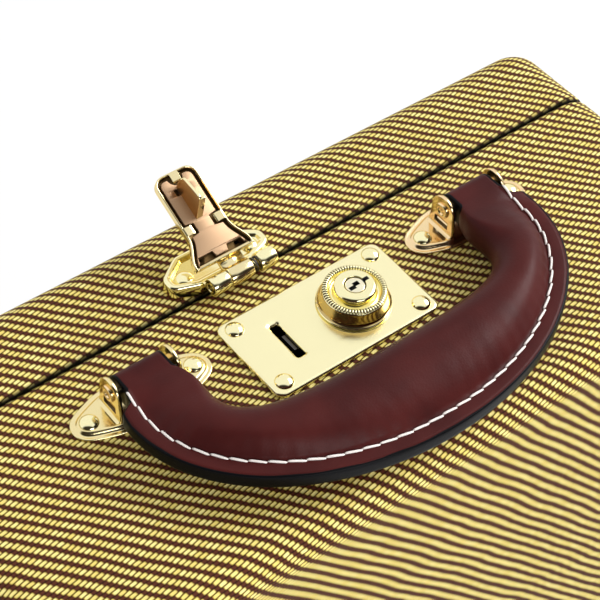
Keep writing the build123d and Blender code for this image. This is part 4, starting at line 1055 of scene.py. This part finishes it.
class Station:
    """One section of the handle. share is 1 at a pin and 0 from the start of the bend on."""

    def __init__(self, inner, outer, thick, share):
        self.inner = inner
        self.outer = outer
        self.share = share
        self.width = math.dist(inner, outer)
        below_pin = max(0.0, MOUNT_Y - LOOP_R - (inner[1] + outer[1]) / 2)
        self.flat = 1 - smooth_step(below_pin / FLAT_FADE)
        swell = math.sin(math.pi / 2 * min(1.0, below_pin / SWELL_LENGTH)) ** 1.2
        self.half = min(thick, between(2 * LOOP_R, GRIP_T, swell)) / 2
        full = between(FLANGE_T / 2, LOOP_R, smooth_step(share))
        self.brim = min(self.half, full)
        self.dip = CREASE_DIP * (1 - share)
        self.brim_u = self.width - EDGE_W
        self.body = self.brim_u - FLANGE_W * flange_share(share)

    def place(self, u, h):
        """u from the inner edge to the outer one, h from the handle's middle plane."""
        t = u / self.width
        x = between(self.inner[0], self.outer[0], t)
        y = between(self.inner[1], self.outer[1], t)
        return on_face(x, y, PIN_Z + h)

    def top_profile(self, pucker):
        """Round inner side, long slope, the stitched crease, and the flange."""
        nose = min(self.half, between(1.05 * self.half, 0.8, self.flat))
        points = [(nose * (1 - math.cos(a)), self.half * math.sin(a)) for a in turns(math.pi / 2, 8)]
        crease = self.brim - self.dip * (1 + pucker)
        for t in turns(1.0, 14)[1:]:
            height = crease + (self.half - crease) * (1 - t ** 2.8)
            points.append((between(nose, self.body, t), height))
        lifts = ((0.08, -0.8 * self.dip), (0.2, -0.15 * self.dip), (0.4, 0.05), (0.8, 0.05), (1.0, 0.0))
        for t, lift in lifts:
            points.append((between(self.body, self.brim_u, t), self.brim + lift * (1 - self.share)))
        return points


def handle_stations():
    """Sections from the left fold round to the right one."""
    start_y = MOUNT_Y - LEG_START
    bend_t = GRIP_T - GRIP_THINNING
    leg = [(MOUNT_Y + LOOP_R * math.cos(a), 2 * LOOP_R * math.sin(a), 1.0) for a in turns(math.pi / 2, 8)]
    leg += [(between(MOUNT_Y, start_y, t), 2 * LOOP_R, 1.0) for t in turns(1.0, 4)[1:]]
    for t in turns(1.0, 12)[1:-1]:
        leg.append((between(start_y, BEND_Y, t), between(2 * LOOP_R, bend_t, t), 1 - t))
    sides = {}
    for side in (-1, 1):
        stations = []
        for y, thick, share in leg:
            inner = between(INNER_HALF, MOUNT_X - LOOP_W / 2, share ** 2)
            outer = between(MOUNT_X + LOOP_W / 2, OUTER_HALF, flange_share(share))
            stations.append(Station((side * inner, y), (side * outer, y), thick, share))
        sides[side] = stations
    bend = []
    for a in turns(math.pi, 144):
        a -= math.pi / 2
        s, c = math.sin(a), abs(math.cos(a))
        inner = (math.copysign(INNER_HALF * abs(s) ** (2 / INNER_POWER), s),
                 BEND_Y - INNER_DROP * c ** (2 / INNER_POWER))
        outer = (OUTER_HALF * s, BEND_Y - OUTER_DROP * c)
        fade = max(0.0, (abs(a) - THINNING_START) / (math.pi / 2 - THINNING_START))
        bend.append(Station(inner, outer, GRIP_T - GRIP_THINNING * fade * fade, 0.0))
    return sides[-1] + bend + sides[1][::-1]


def handle_leather(stations, lengths):
    """The folded leather, closed round the padding, with puckers at the stitches."""
    pitch = STITCH + STITCH_GAP
    rings = []
    for station, length in zip(stations, lengths):
        top = station.top_profile(PUCKER * math.cos(2 * math.pi * length / pitch))
        closed = top + [(u, -h) for u, h in top[:0:-1]]
        ring = []
        for u, h in closed:
            x, y, z = station.place(u, h)
            rough = noise.noise(Vector((x, y, z)) * UNEVEN_SCALE) * UNEVEN * (1 - station.share)
            ring.append((x, y, z + math.copysign(rough, h) * min(1.0, abs(h) / 3)))
        rings.append(ring)
    b = Build()
    b.stack(rings)
    piece = b.make("handle_leather_folded", LEATHER, "handle", "leather", ["handle_leather", "handle_core"])


def handle_edges(stations):
    """The painted cut edge: along the flange, and on the loops' inner sides by the pins."""
    profile = ((0.95, 1.0), (0.5, 1.02), (0.12, 0.95), (0.0, 0.8), (-0.03, 0.35), (-0.03, -0.35), (0.0, -0.8),
               (0.12, -0.95), (0.5, -1.02), (0.95, -1.0))
    b = Build()
    b.stack([[s.place(s.width - u, s.brim * h) for u, h in profile] for s in stations], closed=False)
    fold_stations = 16
    for part in (stations[:fold_stations], stations[-fold_stations:]):
        inside = []
        for s in part:
            fade = smooth_step((s.share - 0.72) / 0.2)
            inside.append([s.place(between(0.9, u, fade), s.half * h * fade) for u, h in profile])
        b.stack(inside, closed=False)
    b.make("handle_edge_painted", EDGE_PAINT, "handle", "leather")


def handle_stitches(stations, lengths):
    """White stitches in the crease, on both sides of the flange."""
    line = [i for i, s in enumerate(stations) if s.share < 0.97]
    start, end = lengths[line[0]], lengths[line[-1]]
    count = int((end - start) / (STITCH + STITCH_GAP))
    pitch = (end - start) / count
    b = Build()
    for side in (-1, 1):
        for n in range(count):
            skew = rng.uniform(-0.12, 0.12)
            path = []
            for t in turns(1.0, 8):
                at = start + n * pitch + between(0.02, pitch - 0.02, t)
                i = max(j for j in line if lengths[j] <= at + 1e-9)
                j = min(i + 1, len(stations) - 1)
                part = (at - lengths[i]) / max(1e-9, lengths[j] - lengths[i])
                rise = STITCH_RISE * math.sin(math.pi * t) ** 0.25 - STITCH_SUNK
                off = STITCH_OFF + (t - 0.5) * (STITCH_SLANT + skew)
                ends = []
                for station in (stations[i], stations[j]):
                    low = station.brim - 0.4 * station.dip
                    ends.append(station.place(station.body + off, side * (low + rise)))
                path.append(tuple(between(p, q, part) for p, q in zip(*ends)))
            b.tube(path, THREAD_R)
    b.make("handle_stitching", THREAD, "handle", "leather")


# Inside of the case

def inner_ring(inset, row_y):
    return [(p[0], row_y, MID_Z + p[1]) for p in outline_ring(inset)]


def lining(name, body, sign, floor, thickness, node):
    """Plush glued to the walls and floor of one half, with a soft corner at the floor."""
    wall = SKIN + thickness / 2
    corner = 3.0
    depth = floor - thickness / 2
    profile = [(wall, RIM + CLOTH)]
    profile += [(wall, between(RIM + CLOTH, depth - corner, k / 6)) for k in range(1, 7)]
    profile += [(wall + corner - corner * math.cos(a), depth - corner + corner * math.sin(a))
                for a in turns(math.pi / 2, 6)[1:]]
    profile += [(wall + corner + k * 7.0, depth) for k in range(1, 13)]
    rings = []
    for inset, d in profile:
        ring = []
        for x, y, z in inner_ring(inset, SEAM_Y + sign * d):
            wave = 0.18 * noise.noise(Vector((x, y * 0.7, z)) * 0.05)
            ring.append((x, y + sign * wave, z))
        rings.append(ring)
    b = Build()
    loops = b.stack(rings)
    b.cap(loops[-1])
    piece = b.make(name, PLUSH, body, "plush", [node])


def tongue():
    """The plush covered rim that the lid locates on, with a rounded top."""
    outer, inner = TONGUE_INSET, TONGUE_INSET + TONGUE_T
    r = TONGUE_T / 2
    profile = [(outer + r - r * math.cos(a), r - TONGUE_RISE - r * math.sin(a)) for a in turns(math.pi, 12)]
    profile = [(outer, TONGUE_RISE)] + profile + [(inner, TONGUE_RISE)]
    b = Build()
    loops = b.stack([inner_ring(inset, SEAM_Y - d) for inset, d in profile])
    b.bridge(loops[-1], loops[0])
    piece = b.make("tongue_covered", PLUSH, "base", "plush", ["base_tongue"])


def soft_block(b, x0, x1, y0, y1, z0, z1, round_r, corner_r=2.0):
    """A block with rounded top and bottom edges and soft upright corners."""
    cx, cz = (x0 + x1) / 2, (z0 + z1) / 2
    outline = densify(rectangle((x1 - x0) / 2, (z1 - z0) / 2, corner_r, 5), 8.0)[::-1]
    edge = arc_steps(round_r, 5)
    profile = [(-inset, y0 + drop) for inset, drop in edge[::-1]]
    profile += [(-inset, y1 - drop) for inset, drop in edge]
    loops = b.pressed(outline, profile, lambda x, z, y: (cx + x, y, cz + z))
    b.cap(loops[0], loops[-1])


def rack():
    """The flocked rack: its block, rails, dividers and the partition beside the open well."""
    groups = (
        ("rack_block_covered", "rack_block",
         [(RACK_X0, RACK_X1, RACK_FLOOR, SLOT_FLOOR, RACK_Z0, RACK_Z1, 0.8, 4.4)]),
        ("rack_rails_covered", "rack_rails",
         [(RACK_X0, RACK_X0 + RAIL, SLOT_FLOOR, RACK_TOP, RACK_Z0, RACK_Z1, 2.2, 2.9),
          (RACK_X1 - RAIL, RACK_X1, SLOT_FLOOR, RACK_TOP, RACK_Z0, RACK_Z1, 2.2, 2.4)]),
        ("partition_covered", "partition",
         [(RACK_X1, RACK_X1 + PARTITION, RACK_FLOOR, RACK_TOP, RACK_Z0, RACK_Z1, 2.0, 2.2)]),
    )
    pitch = (RACK_Z1 - RACK_Z0 - DIVIDER) / SLOT_COUNT
    bars = []
    for i in range(SLOT_COUNT + 1):
        low = RACK_Z0 + i * pitch
        bars.append((RACK_X0 + RAIL, RACK_X1 - RAIL, SLOT_FLOOR, RACK_TOP, low, low + DIVIDER, 2.0, 2.1))
    for name, node, blocks in groups + (("rack_dividers_covered", "rack_dividers", bars),):
        b = Build()
        for block in blocks:
            soft_block(b, *block)
        piece = b.make(name, PLUSH, "base", "plush", [node])


def lid_pad():
    """The crowned pad of the lid, swollen by a short cloth simulation from a slightly smaller form."""
    floor = SEAM_Y + LID_FLOOR - LID_LINING
    shrink, back_gap, lower, voxel, point_step = 1.5, 0.3, 3.5, 5.0, 6.0

    def inset_at(share):
        for (s0, i0), (s1, i1) in zip(PAD_LAYERS, PAD_LAYERS[1:]):
            if share <= s1:
                return between(i0, i1, (share - s0) / (s1 - s0))
        return PAD_LAYERS[-1][1]

    rings = []
    for a in turns(math.pi / 2, 12):
        share = math.sin(a)
        inset = PAD_INSET + shrink + inset_at(share)
        outline = rectangle(LENGTH / 2 - inset, HEIGHT / 2 - inset, PAD_CORNER_R - shrink)
        y = floor - back_gap - share * (PAD_CROWN - lower)
        rings.append([(x, y, MID_Z + z) for x, z in densify(outline, point_step)])
    counts = len(rings[0])
    rings = [r if len(r) == counts else resample(r, counts) for r in rings]
    b = Build()
    loops = b.stack(rings)
    b.cap(loops[0], loops[-1])
    piece = b.make("lid_pad_stuffed", PLUSH, "lid", "plush", ["lid_pad"])
    remesh = piece.modifiers.new("even", "REMESH")
    remesh.mode = "VOXEL"
    remesh.voxel_size = voxel * MM
    settle(piece)
    swell(piece, PAD_SWELL * MM, floor * MM)
    finer = piece.modifiers.new("finer", "SUBSURF")
    finer.levels = 1
    settle(piece)
    piece.data.polygons.foreach_set("use_smooth", [True] * len(piece.data.polygons))


def resample(ring, count):
    """The same closed ring with another number of points, evenly spaced."""
    closed = ring + ring[:1]
    marks = run_lengths(closed)
    out, j = [], 0
    for i in range(count):
        at = marks[-1] * i / count
        while marks[j + 1] < at:
            j += 1
        t = (at - marks[j]) / (marks[j + 1] - marks[j])
        out.append(tuple(between(p, q, t) for p, q in zip(closed[j], closed[j + 1])))
    return out


def swell(piece, cap, back_y):
    """Blow the pad up with cloth pressure, held at its back, no point moving further than cap."""
    pressure, frames, held = 4.0, 20, 1.5 * MM
    before = [v.co.copy() for v in piece.data.vertices]
    pins = piece.vertex_groups.new(name="glued")
    pins.add([i for i, p in enumerate(before) if p.y > back_y - held], 1.0, "REPLACE")
    cloth = piece.modifiers.new("cloth", "CLOTH")
    cloth.settings.use_pressure = True
    cloth.settings.uniform_pressure_force = pressure
    cloth.settings.vertex_group_mass = "glued"
    cloth.settings.effector_weights.gravity = 0.0
    cloth.point_cache.frame_start = 1
    cloth.point_cache.frame_end = frames
    for number in range(1, frames + 1):
        bpy.context.scene.frame_set(number)
    settle(piece)
    for old, vertex in zip(before, piece.data.vertices):
        step = vertex.co - old
        if step.length > cap:
            vertex.co = old + step * (cap / step.length)
    bpy.context.scene.frame_set(1)


# Studio

WHITE = (1.0, 1.0, 1.0, 1.0)
SOFT_STRENGTH, GLOW_SHARE, FLOOR_HALF = 0.72, 0.88, 6.0
DIM_COLOUR, DIM_STRENGTH = (0.75, 0.6, 0.5, 1.0), 0.04

# Each dim part of the room: where it is, and the cosines at which it starts and is full.
DARK_SIDE = ((-0.60, -0.72, 0.30), 0.46, 0.66)
DARK_FRONT = ((0.42, -0.86, 0.28), 0.84, 0.93)
LAMP_AIM = (0, 0, 0.2)


def stage_floor():
    """A pale floor that keeps the object's shadow and meets the white background."""
    mesh = bpy.data.meshes.new("floor")
    corners = [(x * FLOOR_HALF, y * FLOOR_HALF, 0) for x, y in ((-1, -1), (1, -1), (1, 1), (-1, 1))]
    mesh.from_pydata(corners, [], [(0, 1, 2, 3)])
    floor = add_object("floor", mesh)
    s = Shader("floor", Roughness=0.9, Base_Color=(0.92, 0.92, 0.92, 1.0))
    glow = s.node("ShaderNodeEmission", {"Color": WHITE, "Strength": 1.0})
    path = s.node("ShaderNodeLightPath").outputs
    seen = s.larger(path["Is Camera Ray"], path["Is Glossy Ray"])
    seen = s.larger(seen, path["Is Transmission Ray"])
    share = s.times(seen, GLOW_SHARE)
    s.link(s.mix_shaders(share, s.bsdf.outputs[0], glow.outputs[0]), s.out.inputs["Surface"])
    mesh.materials.append(s.material)


def stage_world():
    """Even soft light. The camera sees it white, and reflections see it white with two dim parts."""
    world = bpy.data.worlds.new("studio")
    bpy.context.scene.world = world
    world.use_nodes = True
    s = Nodes(world.node_tree)
    towards = s.node("ShaderNodeTexCoord").outputs["Generated"]

    def near(direction, first, last):
        aim = tuple(Vector(direction).normalized())
        dot = s.node("ShaderNodeVectorMath", {0: towards, 1: aim}, operation="DOT_PRODUCT")
        return s.steps(dot.outputs["Value"], first, last)

    def background(colour, strength):
        return s.node("ShaderNodeBackground", {"Color": colour, "Strength": strength}).outputs[0]

    shown = background(WHITE, 1.0)
    soft = background(WHITE, SOFT_STRENGTH)
    dim = background(DIM_COLOUR, DIM_STRENGTH)
    path = s.node("ShaderNodeLightPath").outputs
    dim_part = s.larger(near(*DARK_SIDE), near(*DARK_FRONT))
    room = s.mix_shaders(dim_part, shown, dim)
    mirrored = s.larger(path["Is Glossy Ray"], path["Is Transmission Ray"])
    lit = s.mix_shaders(mirrored, soft, room)
    final = s.mix_shaders(path["Is Camera Ray"], lit, shown)
    s.link(final, s.node("ShaderNodeOutputWorld").inputs["Surface"])


def lamp(name, place, size, power):
    data = bpy.data.lights.new(name, "AREA")
    data.shape = "RECTANGLE"
    data.size, data.size_y = size
    data.energy = power
    light = add_object(name, data)
    light.location = place
    light.rotation_euler = (Vector(LAMP_AIM) - Vector(place)).to_track_quat("-Z", "Y").to_euler()


# The whole scene

cloth_half("base_tweed_cloth", "base", -1, BASE_DEPTH, ["base_tweed"])
cloth_half("lid_tweed_cloth", "lid", 1, LID_DEPTH, ["lid_tweed"])

plate_corners = [(x * PLATE_RIVET_X, PLATE_Y + y * PLATE_RIVET_Y) for x in (-1, 1) for y in (-1, 1)]
rivets("lock_plate_rivets", plate_corners, PLATE_T, "base", "lock_rivets")
rivets("mount_rivets", [(side * MOUNT_X + x * LOBE_X, MOUNT_Y) for side in (-1, 1) for x in (-1, 1)],
       MOUNT_TOP, "base", "handle_mount_rivets")
rivets("bracket_rivets", [(LATCH_X + x * BRACKET_RIVET_X, BRACKET_RIVET_Y) for x in (-1, 1)],
       BRACKET_FLOOR, "lid", "latch_rivets")
lock_plate()
knob()
key_plug()
latch_bracket()
hasp_cover()
hasp_backing()
handle_mount(-1, "mount_left_pressed", "handle_mount_left", MOUNT_GOLD)
handle_mount(1, "mount_right_pressed", "handle_mount_right", PALE_GOLD)
handle_pins()

sections = handle_stations()
seam_lengths = run_lengths([section.place(section.body, 0) for section in sections])
handle_leather(sections, seam_lengths)
handle_edges(sections)
handle_stitches(sections, seam_lengths)

lining("base_lining_plush", "base", -1, BASE_FLOOR, BASE_LINING, "base_lining")
lining("lid_lining_plush", "lid", 1, LID_FLOOR, LID_LINING, "lid_lining")
tongue()
rack()
lid_pad()

stage_floor()
stage_world()
lamp("key", (1.1, -0.1, 1.1), (0.9, 0.6), 17.0)
lamp("fill", (-0.2, -1.5, 0.7), (0.9, 0.7), 12.0)
